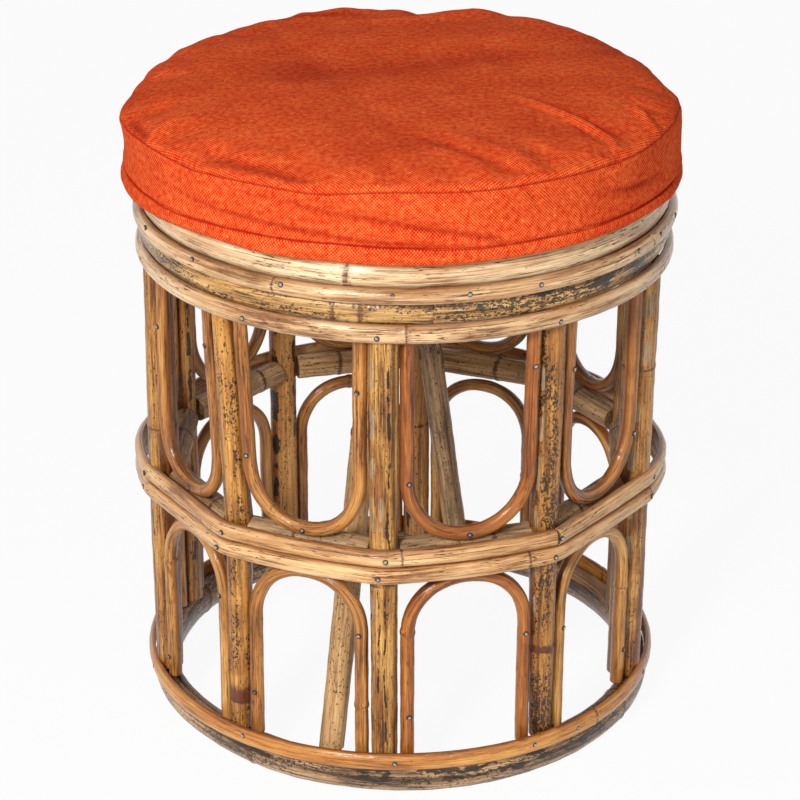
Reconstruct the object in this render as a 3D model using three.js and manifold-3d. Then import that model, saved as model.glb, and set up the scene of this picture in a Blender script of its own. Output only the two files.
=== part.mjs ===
// Round cane stool with a loose box cushion.
//
// Thick canes are bent into a base hoop and two rim hoops, ten upright posts stand between them,
// and split canes are nailed round the outside as bands. Every bay holds a thin cane bent into a
// U loop, and below it another bent into an arch. Ten short rails are wedged between the posts,
// two slanting braces carry the seat bearers, and laths on the bearers close the seat.
//
// Millimetres, +Z up. The origin is on the ground at the centre of the base hoop. The front of
// the stool faces -Y, and an azimuth is measured from the front towards +X.
import * as THREE from 'three';
import { mergeVertices } from 'three/addons/utils/BufferGeometryUtils.js';
import Module from 'manifold-3d';

const wasm = await Module();
wasm.setup();

// Fits
const SIT_GAP = 0.3; // clearance between two pieces that touch
const BUTT_GAP = 0.6; // slit where the two ends of a bent cane meet

// Frame
const FRAME_RADIUS = 171.5; // centre circle of the rim hoops
const BASE_POLE_DIAMETER = 26;
const BASE_POLE_WIDTH = 18.5; // the base hoop is pressed narrower than it is high
const BASE_HOOP_OVERHANG = 2.2; // how far it stands out past the posts
const SOLE_DEPTH = 0.5; // worn flat under the base hoop
const RIM_POLE_DIAMETER = 23.4;
const NODE_RISE = 0.25; // how far a growth ring stands out of a pole
const NODE_WIDTH = 5;

// Posts, in the order of their azimuth from the front
const POST_COUNT = 10;
const POST_DIAMETER = 20.5;
const POST_LENGTH = 322.2;
const FIRST_POST_AZIMUTH = THREE.MathUtils.degToRad(-4);
const postThicknessShares = [1, 0.93, 1.2, 1, 1, 1.04, 1.04, 1, 1.03, 0.88];
const postDriftShares = [0.01, 0.08, 0.1, 0, -0.01, -0.01, 0, 0.05, 0.03, -0.02];
const postNodeShares = [0.42, 0.17, 0.76, 0.36, 0.55, 0.3, 0.7, 0.45, 0.72, 0.1];

// Middle tier: the line between the two mid bands, and what lies above and below it
const MID_HEIGHT = 176.95;
const LOOP_RISE = 10.2; // underside of a U loop above the line
const ARCH_DROP = 12.05; // top of an arch below the line
const RAIL_RISE = 3; // axis of the rails above the line

// Thin canes of the bays
const CANE_DIAMETER = 10;
const LOOP_BEND_HEIGHT = 50;
const ARCH_BEND_HEIGHT = 46;

// Rails
const RAIL_DIAMETER = 19;
const railNodeShares = [0.7, 0.35, 0.8, 0.5, 0.3, 0.62, 0.25, 0.45, 0.75, 0.4];

// Split bands: width up the stool, thickness outwards
const BASE_BAND_WIDTH = 13;
const BASE_BAND_THICKNESS = 4.6;
const BASE_BAND_OVERLAP = 7.3; // how far it reaches up over the feet of the posts
const MID_BAND_WIDTH = 12.6;
const MID_BAND_THICKNESS = 6.2;
const EAVE_BAND_WIDTH = 12.2;
const EAVE_BAND_THICKNESS = 4.6;
const EAVE_BAND_OVERLAP = 3.1; // how far it reaches up past the tops of the posts
const RIM_BAND_WIDTH = 11;
const RIM_BAND_THICKNESS = 6.5;
const bandBowShares = [0.45, 0.1, 1.5, 1, 1, 1, 1, 1.4, 0, 0.45];

// Butt joints
const BASE_HOOP_JOINT = THREE.MathUtils.degToRad(171);
const BASE_BAND_JOINT = THREE.MathUtils.degToRad(36.5);
const EAVE_BAND_JOINT = THREE.MathUtils.degToRad(158);
const LOW_RIM_HOOP_JOINT = THREE.MathUtils.degToRad(5.6);
const RIM_BAND_JOINT = THREE.MathUtils.degToRad(62);
const HIGH_RIM_HOOP_JOINT = THREE.MathUtils.degToRad(200);
const UPPER_MID_BAND_POST = 1;
const LOWER_MID_BAND_POST = 2;

// Seat deck
const BEARER_DIAMETER = 18;
const LATH_COUNT = 6;
const LATH_SPACING = 6;
const LATH_THICKNESS = 7;

// Braces
const BRACE_DIAMETER = 18.5;
const BRACE_FOOT_INSET = 4; // how far inside the rim hoops a brace stands
const FRONT_BRACE_AZIMUTH = THREE.MathUtils.degToRad(-16.5);
const BACK_BRACE_AZIMUTH = THREE.MathUtils.degToRad(164.5);
const FRONT_BRACE_TOP = -10; // sideways place of a brace's top under its bearer
const BACK_BRACE_TOP = 3.5;
const bearerReachShare = 0.367; // place of a bearer between the middle and the frame's radius
const braceNodeShares = [0.62];

// Cushion
const CUSHION_OVERHANG = 8.3; // how far the top panel's seam reaches past the rim hoops
const CUSHION_HEM_DROP = 0.8; // how far the hem hangs below the top of the rim
const HEM_HEIGHT = 12;
const HEM_BULGE = 2;
const hemBulgeShares = [0.33, 0.67]; // heights in the hem between which it bulges
const CREASE_DRAW = 1.7; // how far the crease above the hem pulls in
const BOXING_HEIGHT = 36.5;
const BOXING_DRAW = 2; // how far the side pulls in between its seams
const CROWN_HEIGHT = 16;
const CROWN_SQUARENESS = 5; // the higher, the flatter the middle of the top
const COVER_THICKNESS = 1.5;

// Facets
const POLE_SIDES = 12;
const HOOP_SECTION_STEPS = 5;
const CANE_SECTION_STEPS = 4;
const BAND_SECTION_STEPS = 3;
const HOOP_STEPS = 48;
const BEND_STEPS = 10;
const BAY_STEPS = 4;
const CUSHION_SIDES = 36;
const BOXING_STEPS = 4;
const CROWN_STEPS = 7;

// Heights and radii that follow from the sizes above
const FULL_TURN = Math.PI * 2;
const QUARTER_TURN = Math.PI / 2;
const FACET_SHRINK = Math.cos(Math.PI / HOOP_STEPS);
const POST_OUTSIDE = FRAME_RADIUS + POST_DIAMETER / 2;
const BASE_HOOP_HEIGHT = BASE_POLE_DIAMETER / 2 - SOLE_DEPTH;
const BASE_HOOP_RADIUS = POST_OUTSIDE + BASE_HOOP_OVERHANG - BASE_POLE_WIDTH / 2;
const POST_FOOT = BASE_HOOP_HEIGHT + BASE_POLE_DIAMETER / 2 + SIT_GAP;
const POST_TOP = POST_FOOT + POST_LENGTH;
const LOW_RIM_HOOP_HEIGHT = POST_TOP + SIT_GAP + RIM_POLE_DIAMETER / 2;
const HIGH_RIM_HOOP_HEIGHT = LOW_RIM_HOOP_HEIGHT + RIM_POLE_DIAMETER + SIT_GAP;
const SEAT_HEIGHT = HIGH_RIM_HOOP_HEIGHT + RIM_POLE_DIAMETER / 2;
const DECK_RADIUS = (FRAME_RADIUS - RIM_POLE_DIAMETER / 2) * FACET_SHRINK - SIT_GAP;
const BEARER_HEIGHT = SEAT_HEIGHT - LATH_THICKNESS - SIT_GAP - BEARER_DIAMETER / 2;
const RAIL_HEIGHT = MID_HEIGHT + RAIL_RISE;
const BRACE_TOP = BEARER_HEIGHT - BEARER_DIAMETER / 2 - SIT_GAP;
const BRACE_RISE = BRACE_TOP - POST_FOOT;
const BEARER_REACH = FRAME_RADIUS * bearerReachShare;
const CUSHION_RADIUS = FRAME_RADIUS + RIM_POLE_DIAMETER / 2 + CUSHION_OVERHANG;
const CUSHION_FOOT = SEAT_HEIGHT + SIT_GAP;
const SEAM_HEIGHT = SEAT_HEIGHT - CUSHION_HEM_DROP + HEM_HEIGHT + BOXING_HEIGHT;

const stool = new THREE.Group();

// Finishes
const finish = (color, roughness) => ({ color, roughness, metalness: 0 });
const PALE_CANE = finish(0xc9a069, 0.35);
const GOLDEN_CANE = finish(0xb07a3c, 0.35);
const RUSSET_CANE = finish(0x9c5f30, 0.35);
const MOTTLED_CANE = finish(0x8a6f3a, 0.35);
const DARK_CANE = finish(0x4d4028, 0.3);
const GREY_CANE = finish(0x7a6649, 0.55);
const LATH_BAMBOO = finish(0xa88a58, 0.65);
const CANVAS = finish(0xd4471e, 0.9);
const FOAM = finish(0xe6dcb4, 0.95);

function addPiece(name, geometry, look) {
  const mesh = new THREE.Mesh(geometry, new THREE.MeshStandardMaterial(look));
  mesh.name = name;
  stool.add(mesh);
  return mesh;
}

function pieceName(base, index) {
  return `${base}_${String(index + 1).padStart(2, '0')}`;
}

// A path sampled at even steps of its own parameter, so bends can have more steps than runs.
class SteppedPath extends THREE.Curve {
  constructor(pointAt) {
    super();
    this.pointAt = pointAt;
  }

  getPoint(t) {
    return this.pointAt(t);
  }

  getUtoTmapping(u) {
    return u;
  }
}

function sweep(section, path, steps, curveSegments) {
  return new THREE.ExtrudeGeometry(section, { steps, curveSegments, extrudePath: path });
}

// A straight pole from the origin up +Z, with a low growth ring at each node.
function culm(length, diameter, nodeShares) {
  const ring = diameter / 2;
  const skin = ring - NODE_RISE;
  const profile = [new THREE.Vector2(0, 0), new THREE.Vector2(skin, 0)];
  for (const share of nodeShares) {
    const node = share * length;
    profile.push(new THREE.Vector2(skin, node - NODE_WIDTH / 2));
    profile.push(new THREE.Vector2(ring, node));
    profile.push(new THREE.Vector2(skin, node + NODE_WIDTH / 2));
  }
  profile.push(new THREE.Vector2(skin, length), new THREE.Vector2(0, length));
  return new THREE.LatheGeometry(profile, POLE_SIDES).rotateX(QUARTER_TURN);
}

// Posts: all flush on the outside, whatever their thickness.
function makePost(index) {
  const diameter = POST_DIAMETER * postThicknessShares[index % postThicknessShares.length];
  const drift = postDriftShares[index % postDriftShares.length];
  const azimuth = FIRST_POST_AZIMUTH + ((index + drift) * FULL_TURN) / POST_COUNT;
  const reach = POST_OUTSIDE - diameter / 2;
  const centre = new THREE.Vector2(reach * Math.sin(azimuth), -reach * Math.cos(azimuth));
  return { diameter, azimuth, centre };
}

const posts = Array.from({ length: POST_COUNT }, (_, index) => makePost(index));
const postLooks = [GREY_CANE, GOLDEN_CANE, GOLDEN_CANE, GREY_CANE, GOLDEN_CANE];

posts.forEach((post, index) => {
  const nodes = [postNodeShares[index % postNodeShares.length]];
  const geometry = culm(POST_LENGTH, post.diameter, nodes);
  const mesh = addPiece(pieceName('post', index), geometry, postLooks[index % postLooks.length]);
  mesh.position.set(post.centre.x, post.centre.y, POST_FOOT);
  mesh.rotation.z = post.azimuth;
});

// A bay is the space between a post and the next one. Along is the direction from post to post,
// and inward is square to it, towards the middle of the stool.
function makeBay(index) {
  const from = posts[index];
  const to = posts[(index + 1) % POST_COUNT];
  const along = new THREE.Vector2().subVectors(to.centre, from.centre);
  const span = along.length();
  along.normalize();
  const inward = new THREE.Vector2(-along.y, along.x);
  const outset = (Math.min(from.diameter, to.diameter) - CANE_DIAMETER) / 2;
  const turn = (to.azimuth - from.azimuth + FULL_TURN) % FULL_TURN;
  return { from, to, span, along, inward, outset, turn };
}

const bays = posts.map((_, index) => makeBay(index));

// Bays: bent thin canes.
// Each cane lies in an upright plane between the two posts, flush with the outside of the
// thinner one. It runs along one leg, round a half ellipse and back along the other leg.
function bentCane(halfSpan, legEnd, bendBase, bendRise) {
  const section = new THREE.Shape().absarc(0, 0, CANE_DIAMETER / 2, 0, FULL_TURN);
  const steps = BEND_STEPS + 2;
  const path = new SteppedPath((t) => {
    const step = t * steps;
    if (step < 1) {
      return new THREE.Vector3(-halfSpan, 0, THREE.MathUtils.lerp(legEnd, bendBase, step));
    }
    if (step > BEND_STEPS + 1) {
      const share = step - BEND_STEPS - 1;
      return new THREE.Vector3(halfSpan, 0, THREE.MathUtils.lerp(bendBase, legEnd, share));
    }
    const angle = ((step - 1) * Math.PI) / BEND_STEPS;
    const height = bendBase + bendRise * Math.sin(angle);
    return new THREE.Vector3(-halfSpan * Math.cos(angle), 0, height);
  });
  return sweep(section, path, steps, CANE_SECTION_STEPS);
}

// Where the legs stand along the bay, when the cane lies outset outward of the posts' centres.
function legPlaces(bay) {
  const reach = (post) => {
    const apart = post.diameter / 2 + SIT_GAP + CANE_DIAMETER / 2;
    return Math.sqrt(apart * apart - bay.outset * bay.outset);
  };
  const first = reach(bay.from);
  const last = bay.span - reach(bay.to);
  return { middle: (first + last) / 2, halfSpan: (last - first) / 2 };
}

function placeInBay(mesh, bay, middle, setBack) {
  const spot = bay.from.centre.clone();
  spot.addScaledVector(bay.along, middle);
  spot.addScaledVector(bay.inward, setBack);
  mesh.position.set(spot.x, spot.y, 0);
  mesh.rotation.z = bay.along.angle();
}

const loopLooks = [RUSSET_CANE, PALE_CANE, PALE_CANE, GOLDEN_CANE, GOLDEN_CANE];
const archLooks = [GOLDEN_CANE, GOLDEN_CANE, RUSSET_CANE, GOLDEN_CANE, PALE_CANE];

bays.forEach((bay, index) => {
  const legs = legPlaces(bay);
  const bendRise = LOOP_BEND_HEIGHT - CANE_DIAMETER / 2;
  const bendBase = MID_HEIGHT + LOOP_RISE + LOOP_BEND_HEIGHT;
  const geometry = bentCane(legs.halfSpan, POST_TOP, bendBase, -bendRise);
  const look = loopLooks[index % loopLooks.length];
  const mesh = addPiece(pieceName('upper_loop', index), geometry, look);
  placeInBay(mesh, bay, legs.middle, -bay.outset);
});

bays.forEach((bay, index) => {
  const legs = legPlaces(bay);
  const bendRise = ARCH_BEND_HEIGHT - CANE_DIAMETER / 2;
  const bendBase = MID_HEIGHT - ARCH_DROP - ARCH_BEND_HEIGHT;
  const geometry = bentCane(legs.halfSpan, POST_FOOT, bendBase, bendRise);
  const look = archLooks[index % archLooks.length];
  const mesh = addPiece(pieceName('lower_arch', index), geometry, look);
  placeInBay(mesh, bay, legs.middle, -bay.outset);
});

// Rails: each is wedged between its two posts, behind the bottom of the U loop and nailed to it.
function railSetBack(bay) {
  const apart = (RAIL_DIAMETER + CANE_DIAMETER) / 2 + SIT_GAP;
  const rise = MID_HEIGHT + LOOP_RISE + CANE_DIAMETER / 2 - RAIL_HEIGHT;
  return Math.sqrt(Math.max(0, apart * apart - rise * rise)) - bay.outset;
}

bays.forEach((bay, index) => {
  const first = bay.from.diameter / 2 + SIT_GAP;
  const last = bay.span - bay.to.diameter / 2 - SIT_GAP;
  const nodes = [railNodeShares[index % railNodeShares.length]];
  const geometry = culm(last - first, RAIL_DIAMETER, nodes).rotateY(QUARTER_TURN);
  const mesh = addPiece(pieceName('mid_rail', index), geometry, GREY_CANE);
  placeInBay(mesh, bay, first, railSetBack(bay));
  mesh.position.z = RAIL_HEIGHT;
});

// Hoops and round bands run once round the stool from one side of their butt joint to the other.
function ringPath(radius, joint) {
  const slit = BUTT_GAP / radius;
  return new SteppedPath((t) => {
    const azimuth = joint + slit / 2 + t * (FULL_TURN - slit);
    return new THREE.Vector3(radius * Math.sin(azimuth), -radius * Math.cos(azimuth), 0);
  });
}

// On a level ring swept this way, the section's +X points down and its +Y points inwards.
function poleSection(height, width, flatDepth) {
  const radius = height / 2;
  const flat = Math.acos((radius - flatDepth) / radius);
  return new THREE.Shape().absellipse(0, 0, radius, width / 2, flat, FULL_TURN - flat);
}

function bandSection(width, thickness) {
  const section = new THREE.Shape();
  section.moveTo(width / 2, 0);
  section.absellipse(0, 0, width / 2, thickness, 0, -Math.PI, true);
  return section;
}

function addHoop(name, section, radius, joint, height, look) {
  const path = ringPath(radius, joint);
  const mesh = addPiece(name, sweep(section, path, HOOP_STEPS, HOOP_SECTION_STEPS), look);
  mesh.position.z = height;
}

function addRoundBand(name, width, thickness, seatRadius, joint, height, look) {
  const section = bandSection(width, thickness);
  const path = ringPath((seatRadius + SIT_GAP) / FACET_SHRINK, joint);
  const mesh = addPiece(name, sweep(section, path, HOOP_STEPS, BAND_SECTION_STEPS), look);
  mesh.position.z = height;
}

const baseSection = poleSection(BASE_POLE_DIAMETER, BASE_POLE_WIDTH, SOLE_DEPTH);
addHoop('base_hoop', baseSection, BASE_HOOP_RADIUS, BASE_HOOP_JOINT, BASE_HOOP_HEIGHT, DARK_CANE);
addRoundBand('base_band', BASE_BAND_WIDTH, BASE_BAND_THICKNESS, POST_OUTSIDE, BASE_BAND_JOINT,
  POST_FOOT + BASE_BAND_OVERLAP - BASE_BAND_WIDTH / 2, GOLDEN_CANE);

// Mid bands: bent round the posts and nearly straight between them, by each bay's own bow. A
// corner of their inner face stands off each post just enough for the runs on both sides of it.
const bandCorners = posts.map((post, index) => {
  const before = bays[(index + POST_COUNT - 1) % POST_COUNT];
  const half = Math.max(bays[index].turn, before.turn) / 2;
  const radius = post.centre.length() + (post.diameter / 2 + SIT_GAP) / Math.cos(half);
  return post.centre.clone().setLength(radius);
});

function midBandPath(startPost) {
  const slit = BUTT_GAP / bays[startPost].span;
  return new SteppedPath((t) => {
    const place = slit / 2 + t * (POST_COUNT - slit);
    const whole = Math.min(Math.floor(place), POST_COUNT - 1);
    const index = (startPost + whole) % POST_COUNT;
    const share = place - whole;
    const bay = bays[index];
    const point = bandCorners[index].clone().lerp(bandCorners[(index + 1) % POST_COUNT], share);
    const sag = POST_OUTSIDE * (1 - Math.cos(bay.turn / 2));
    const bow = sag * bandBowShares[index % bandBowShares.length];
    point.addScaledVector(bay.inward, -bow * Math.sin(Math.PI * share));
    return new THREE.Vector3(point.x, point.y, 0);
  });
}

function addMidBand(name, startPost, height, look) {
  const section = bandSection(MID_BAND_WIDTH, MID_BAND_THICKNESS);
  const steps = POST_COUNT * BAY_STEPS;
  const geometry = sweep(section, midBandPath(startPost), steps, BAND_SECTION_STEPS);
  addPiece(name, geometry, look).position.z = height;
}

const MID_BAND_SHIFT = (MID_BAND_WIDTH + SIT_GAP) / 2;
addMidBand('mid_band_lower', LOWER_MID_BAND_POST, MID_HEIGHT - MID_BAND_SHIFT, GOLDEN_CANE);
addMidBand('mid_band_upper', UPPER_MID_BAND_POST, MID_HEIGHT + MID_BAND_SHIFT, GOLDEN_CANE);

// Rim: the eave band covers the tops of the posts. The rim band lies in the groove between the
// two rim hoops, so that its edges rest on both.
addRoundBand('eave_band', EAVE_BAND_WIDTH, EAVE_BAND_THICKNESS, POST_OUTSIDE, EAVE_BAND_JOINT,
  POST_TOP + EAVE_BAND_OVERLAP - EAVE_BAND_WIDTH / 2, PALE_CANE);
const rimSection = poleSection(RIM_POLE_DIAMETER, RIM_POLE_DIAMETER, 0);
addHoop('rim_hoop_lower', rimSection, FRAME_RADIUS, LOW_RIM_HOOP_JOINT, LOW_RIM_HOOP_HEIGHT,
  MOTTLED_CANE);
const grooveDepth = (RIM_POLE_DIAMETER + SIT_GAP - RIM_BAND_WIDTH) / 2;
const rimBandSeat = FRAME_RADIUS + Math.sqrt((RIM_POLE_DIAMETER / 2) ** 2 - grooveDepth ** 2);
addRoundBand('rim_band', RIM_BAND_WIDTH, RIM_BAND_THICKNESS, rimBandSeat, RIM_BAND_JOINT,
  LOW_RIM_HOOP_HEIGHT + (RIM_POLE_DIAMETER + SIT_GAP) / 2, PALE_CANE);
addHoop('rim_hoop_upper', rimSection, FRAME_RADIUS, HIGH_RIM_HOOP_JOINT, HIGH_RIM_HOOP_HEIGHT,
  PALE_CANE);

// Seat deck: braces, bearers and laths. The ends of the bearers and laths are cut round to fit
// inside the rim hoops.
function toSolid(geometry) {
  geometry.deleteAttribute('normal');
  geometry.deleteAttribute('uv');
  const merged = mergeVertices(geometry);
  return new wasm.Manifold(new wasm.Mesh({
    numProp: 3,
    vertProperties: new Float32Array(merged.attributes.position.array),
    triVerts: new Uint32Array(merged.index.array),
  }));
}

function fitInsideRim(geometry) {
  const height = SEAT_HEIGHT;
  const core = new THREE.CylinderGeometry(DECK_RADIUS, DECK_RADIUS, height * 2, HOOP_STEPS * 2);
  const mesh = toSolid(geometry).intersect(toSolid(core.rotateX(QUARTER_TURN))).getMesh();
  const fitted = new THREE.BufferGeometry();
  fitted.setAttribute('position', new THREE.BufferAttribute(mesh.vertProperties, mesh.numProp));
  fitted.setIndex(new THREE.BufferAttribute(mesh.triVerts, 1));
  fitted.computeVertexNormals();
  return fitted;
}

// Braces: each stands on the base hoop and leans in to the middle of a bearer. It is sawn level
// at both ends.
const braces = {
  front: { side: -1, azimuth: FRONT_BRACE_AZIMUTH, top: FRONT_BRACE_TOP },
  back: { side: 1, azimuth: BACK_BRACE_AZIMUTH, top: BACK_BRACE_TOP },
};

for (const [name, brace] of Object.entries(braces)) {
  const foot = new THREE.Vector2(Math.sin(brace.azimuth), -Math.cos(brace.azimuth));
  foot.multiplyScalar(FRAME_RADIUS - BRACE_FOOT_INSET);
  const lean = new THREE.Vector2(brace.top, brace.side * BEARER_REACH).sub(foot);
  lean.divideScalar(BRACE_RISE);
  const slant = new THREE.Matrix4().makeShear(0, 0, 0, 0, lean.x, lean.y);
  const geometry = culm(BRACE_RISE, BRACE_DIAMETER, braceNodeShares).applyMatrix4(slant);
  addPiece(`brace_${name}`, geometry, GREY_CANE).position.set(foot.x, foot.y, POST_FOOT);
}

// Bearers: a pole across the inside of the rim at the top of each brace.
for (const [name, brace] of Object.entries(braces)) {
  const pole = culm(DECK_RADIUS * 2, BEARER_DIAMETER, []).rotateY(QUARTER_TURN);
  pole.translate(-DECK_RADIUS, brace.side * BEARER_REACH, 0);
  addPiece(`seat_bearer_${name}`, fitInsideRim(pole), GREY_CANE).position.z = BEARER_HEIGHT;
}

// Laths: side by side on the bearers, from rim to rim.
const LATH_PITCH = (DECK_RADIUS * 2) / LATH_COUNT;
for (let index = 0; index < LATH_COUNT; index += 1) {
  const width = LATH_PITCH - LATH_SPACING;
  const lath = new THREE.BoxGeometry(width, DECK_RADIUS * 2, LATH_THICKNESS);
  lath.translate((index + 0.5) * LATH_PITCH - DECK_RADIUS, 0, 0);
  const mesh = addPiece(pieceName('seat_lath', index), fitInsideRim(lath), LATH_BAMBOO);
  mesh.position.z = SEAT_HEIGHT - LATH_THICKNESS / 2;
}

// Cushion: a foam pad in a sewn cover that is open underneath. The cover's outline runs from
// the hem up over the crease, the side and the seam to the middle of the crowned top.
function coverProfile() {
  const hem = SEAT_HEIGHT - CUSHION_HEM_DROP;
  const crease = hem + HEM_HEIGHT;
  const profile = [
    new THREE.Vector2(CUSHION_RADIUS, hem),
    ...hemBulgeShares.map((share) =>
      new THREE.Vector2(CUSHION_RADIUS + HEM_BULGE, hem + share * HEM_HEIGHT)),
    new THREE.Vector2(CUSHION_RADIUS - CREASE_DRAW, crease),
  ];
  for (let step = 1; step < BOXING_STEPS; step += 1) {
    const share = step / BOXING_STEPS;
    const draw = BOXING_DRAW * Math.sin(Math.PI * share);
    profile.push(new THREE.Vector2(CUSHION_RADIUS - draw, crease + share * BOXING_HEIGHT));
  }
  for (let step = 0; step <= CROWN_STEPS; step += 1) {
    const reach = step < CROWN_STEPS ? Math.cos((step * QUARTER_TURN) / CROWN_STEPS) : 0;
    const rise = CROWN_HEIGHT * Math.sqrt(1 - reach ** CROWN_SQUARENESS);
    profile.push(new THREE.Vector2(CUSHION_RADIUS * reach, SEAM_HEIGHT + rise));
  }
  return profile;
}

// The same outline moved in by a distance, square to itself.
function insetProfile(profile, distance) {
  return profile.map((point, index) => {
    const before = profile[Math.max(index - 1, 0)];
    const after = profile[Math.min(index + 1, profile.length - 1)];
    const along = new THREE.Vector2().subVectors(after, before).normalize();
    const onAxis = index === profile.length - 1;
    const radius = onAxis ? 0 : point.x - along.y * distance;
    return new THREE.Vector2(radius, point.y + (onAxis ? -distance : along.x * distance));
  });
}

const outside = coverProfile();
const inside = insetProfile(outside, COVER_THICKNESS);
inside[0].y = outside[0].y;
const shell = [...outside, ...inside.reverse(), outside[0]];
addPiece('cushion_cover', new THREE.LatheGeometry(shell, CUSHION_SIDES).rotateX(QUARTER_TURN), CANVAS);

const CREASE_POINT = 3; // place of the crease in the cover's outline
const padSide = insetProfile(outside, COVER_THICKNESS + SIT_GAP).slice(CREASE_POINT);
const padFoot = new THREE.Vector2(padSide[0].x, CUSHION_FOOT);
const pad = [new THREE.Vector2(0, CUSHION_FOOT), padFoot, ...padSide];
addPiece('cushion_pad', new THREE.LatheGeometry(pad, CUSHION_SIDES).rotateX(QUARTER_TURN), FOAM);

export default stool;
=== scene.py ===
import bpy
import numpy as np
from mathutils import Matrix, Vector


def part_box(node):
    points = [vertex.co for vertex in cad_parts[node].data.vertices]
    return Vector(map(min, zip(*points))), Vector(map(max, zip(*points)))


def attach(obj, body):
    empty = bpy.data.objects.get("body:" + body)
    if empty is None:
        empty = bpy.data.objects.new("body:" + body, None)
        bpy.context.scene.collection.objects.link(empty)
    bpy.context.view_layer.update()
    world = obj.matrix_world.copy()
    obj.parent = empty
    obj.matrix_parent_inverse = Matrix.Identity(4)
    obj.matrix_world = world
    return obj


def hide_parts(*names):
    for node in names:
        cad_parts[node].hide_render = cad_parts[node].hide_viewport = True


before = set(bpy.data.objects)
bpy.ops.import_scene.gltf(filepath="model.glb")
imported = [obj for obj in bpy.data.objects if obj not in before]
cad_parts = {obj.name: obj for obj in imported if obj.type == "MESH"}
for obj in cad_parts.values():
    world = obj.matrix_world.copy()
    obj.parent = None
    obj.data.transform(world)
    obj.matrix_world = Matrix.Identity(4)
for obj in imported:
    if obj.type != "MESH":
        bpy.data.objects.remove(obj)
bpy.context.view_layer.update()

# Base hoop: one thick cane bent into a ring, dark and mottled, with a varnish shine. Its two sawn
# ends meet in a butt joint at the back, and it is worn flat where it stands on the ground.
MM = 0.001
TURN = 2 * np.pi
FRAME_RADIUS = 171.5 * MM
POST_RADIUS = 10.25 * MM
POST_OUTSIDE = FRAME_RADIUS + POST_RADIUS
BASE_POLE_RADIUS = 13 * MM
BASE_POLE_WIDTH_SHARE = 0.71
BASE_HOOP_OVERHANG = 2.2 * MM
BASE_HOOP_RADIUS = POST_OUTSIDE + BASE_HOOP_OVERHANG - BASE_POLE_RADIUS * BASE_POLE_WIDTH_SHARE
BASE_HOOP_HEIGHT = 12.5 * MM
BASE_HOOP_JOINT = np.radians(171)
BUTT_SLIT = 0.9 * MM
SAW_BEVEL = 0.5 * MM
# How far a cane's mean skin lies inside the pole that was measured, to leave room for its swells
SKIN_ALLOWANCE = 0.3 * MM
# A node is a ridge with a notch beside it, and its line wanders as it goes round
RIDGE_WIDTH = 1.9 * MM
NOTCH_WIDTH = 1.2 * MM
NOTCH_OFFSET = 3.4 * MM
NODE_WANDER = 0.6 * MM
FLUTE_DEPTH = 0.5 * MM
HOOP_ROWS = 540
HOOP_SIDES = 44
HOOP_STAIN = 0.66
HOOP_STAIN_TURN = 0.9
# Rings that close a sawn end, as shares of its section
CAP_SHARES = np.array([0.45, 0.88, 0.95])


def toward(azimuth):
    """Level unit vectors at an azimuth that is measured from the front, -Y, towards +X."""
    return np.stack([np.sin(azimuth), -np.cos(azimuth), np.zeros_like(azimuth)], axis=-1)


def full_turn(count):
    """Angles spaced evenly round a full turn."""
    return np.linspace(0, TURN, count, endpoint=False)


def wrap(angle):
    """An angle brought between minus and plus half a turn."""
    return (angle + np.pi) % TURN - np.pi


def bell(off, width):
    """1 on a line and 0 far from it: e to the minus square of the distance over the width."""
    return np.exp(-((off / width) ** 2))


def waves(place, longest, seed, count=4):
    """Irregular waves from -1 to 1: the mean of sines, each shorter than the last, that start at
    seeded places."""
    starts = np.random.default_rng(seed).uniform(0, TURN, count)
    total = np.zeros_like(place)
    for step in range(count):
        total += np.sin(TURN * place * 1.7**step / longest + starts[step]) / (step + 1)
    return total / 2


def past_node(run, node, angle):
    """How far a place lies past a node: its run less the node's, and less a sine round the cane."""
    return run - node - NODE_WANDER * np.sin(2 * angle + node * 50)


def cane_radius(angle, run, radius, seed, nodes=(), grooves=5, depth=0.25 * MM, rise=0.7 * MM):
    """Radius of a cane's skin at an angle round it and a run along it: the mean radius with slow
    swells, less narrow grooves that drift as they run, plus a ridge beside a notch at each node."""
    rng = np.random.default_rng(seed)
    skin = radius * (1 + 0.018 * waves(run, 0.11, seed + 1) + 0.012 * np.cos(2 * angle + seed))
    skin = skin + 0.12 * MM * waves(run, 0.023, seed + 2)
    for _ in range(grooves):
        place = rng.uniform(0, TURN) + 0.25 * np.sin(run * rng.uniform(5, 20) + rng.uniform(0, TURN))
        width = rng.uniform(0.9, 2.0) * MM / radius
        fade = 0.65 + 0.35 * np.sin(run * rng.uniform(20, 60) + rng.uniform(0, TURN))
        skin = skin - depth * rng.uniform(0.4, 1) * fade * bell(wrap(angle - place), width)
    for node in nodes:
        off = past_node(run, node, angle)
        skin = skin + rise * bell(off, RIDGE_WIDTH)
        skin = skin - 0.55 * rise * bell(off - NOTCH_OFFSET, NOTCH_WIDTH)
    return skin


def node_mark(run, nodes, angle, width=2.4 * MM):
    """How strongly a node darkens each place: a bell round each node's run."""
    mark = np.zeros(np.broadcast(run, angle).shape)
    for node in nodes:
        mark = np.maximum(mark, bell(past_node(run, node, angle), width))
    return mark


def groove_shade_mark(skin):
    """How far each place lies below the mean skin of its ring, as a share of FLUTE_DEPTH: the strength of
    the painted shade in the grooves.
    """
    return np.clip((skin.mean(axis=1, keepdims=True) - skin) / FLUTE_DEPTH, 0, 1)


def painted_edge_shade(angle):
    """How far a place on a cane turns sideways, which sets the painted shade on its edges: a bell on the
    cosine of its angle, 0 where it faces out or in and 1 a little past its side."""
    return bell(np.cos(angle) + 0.2, 0.42)


def carry(centre, outward, x, y):
    """A section carried along a line: each point of the line, plus x along its outward direction
    and y along the direction square to both that and the line."""
    side = np.cross(np.gradient(centre, axis=0), outward)
    side /= np.linalg.norm(side, axis=1, keepdims=True)
    return centre[:, None] + x[..., None] * outward[:, None] + y[..., None] * side[:, None]


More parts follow.
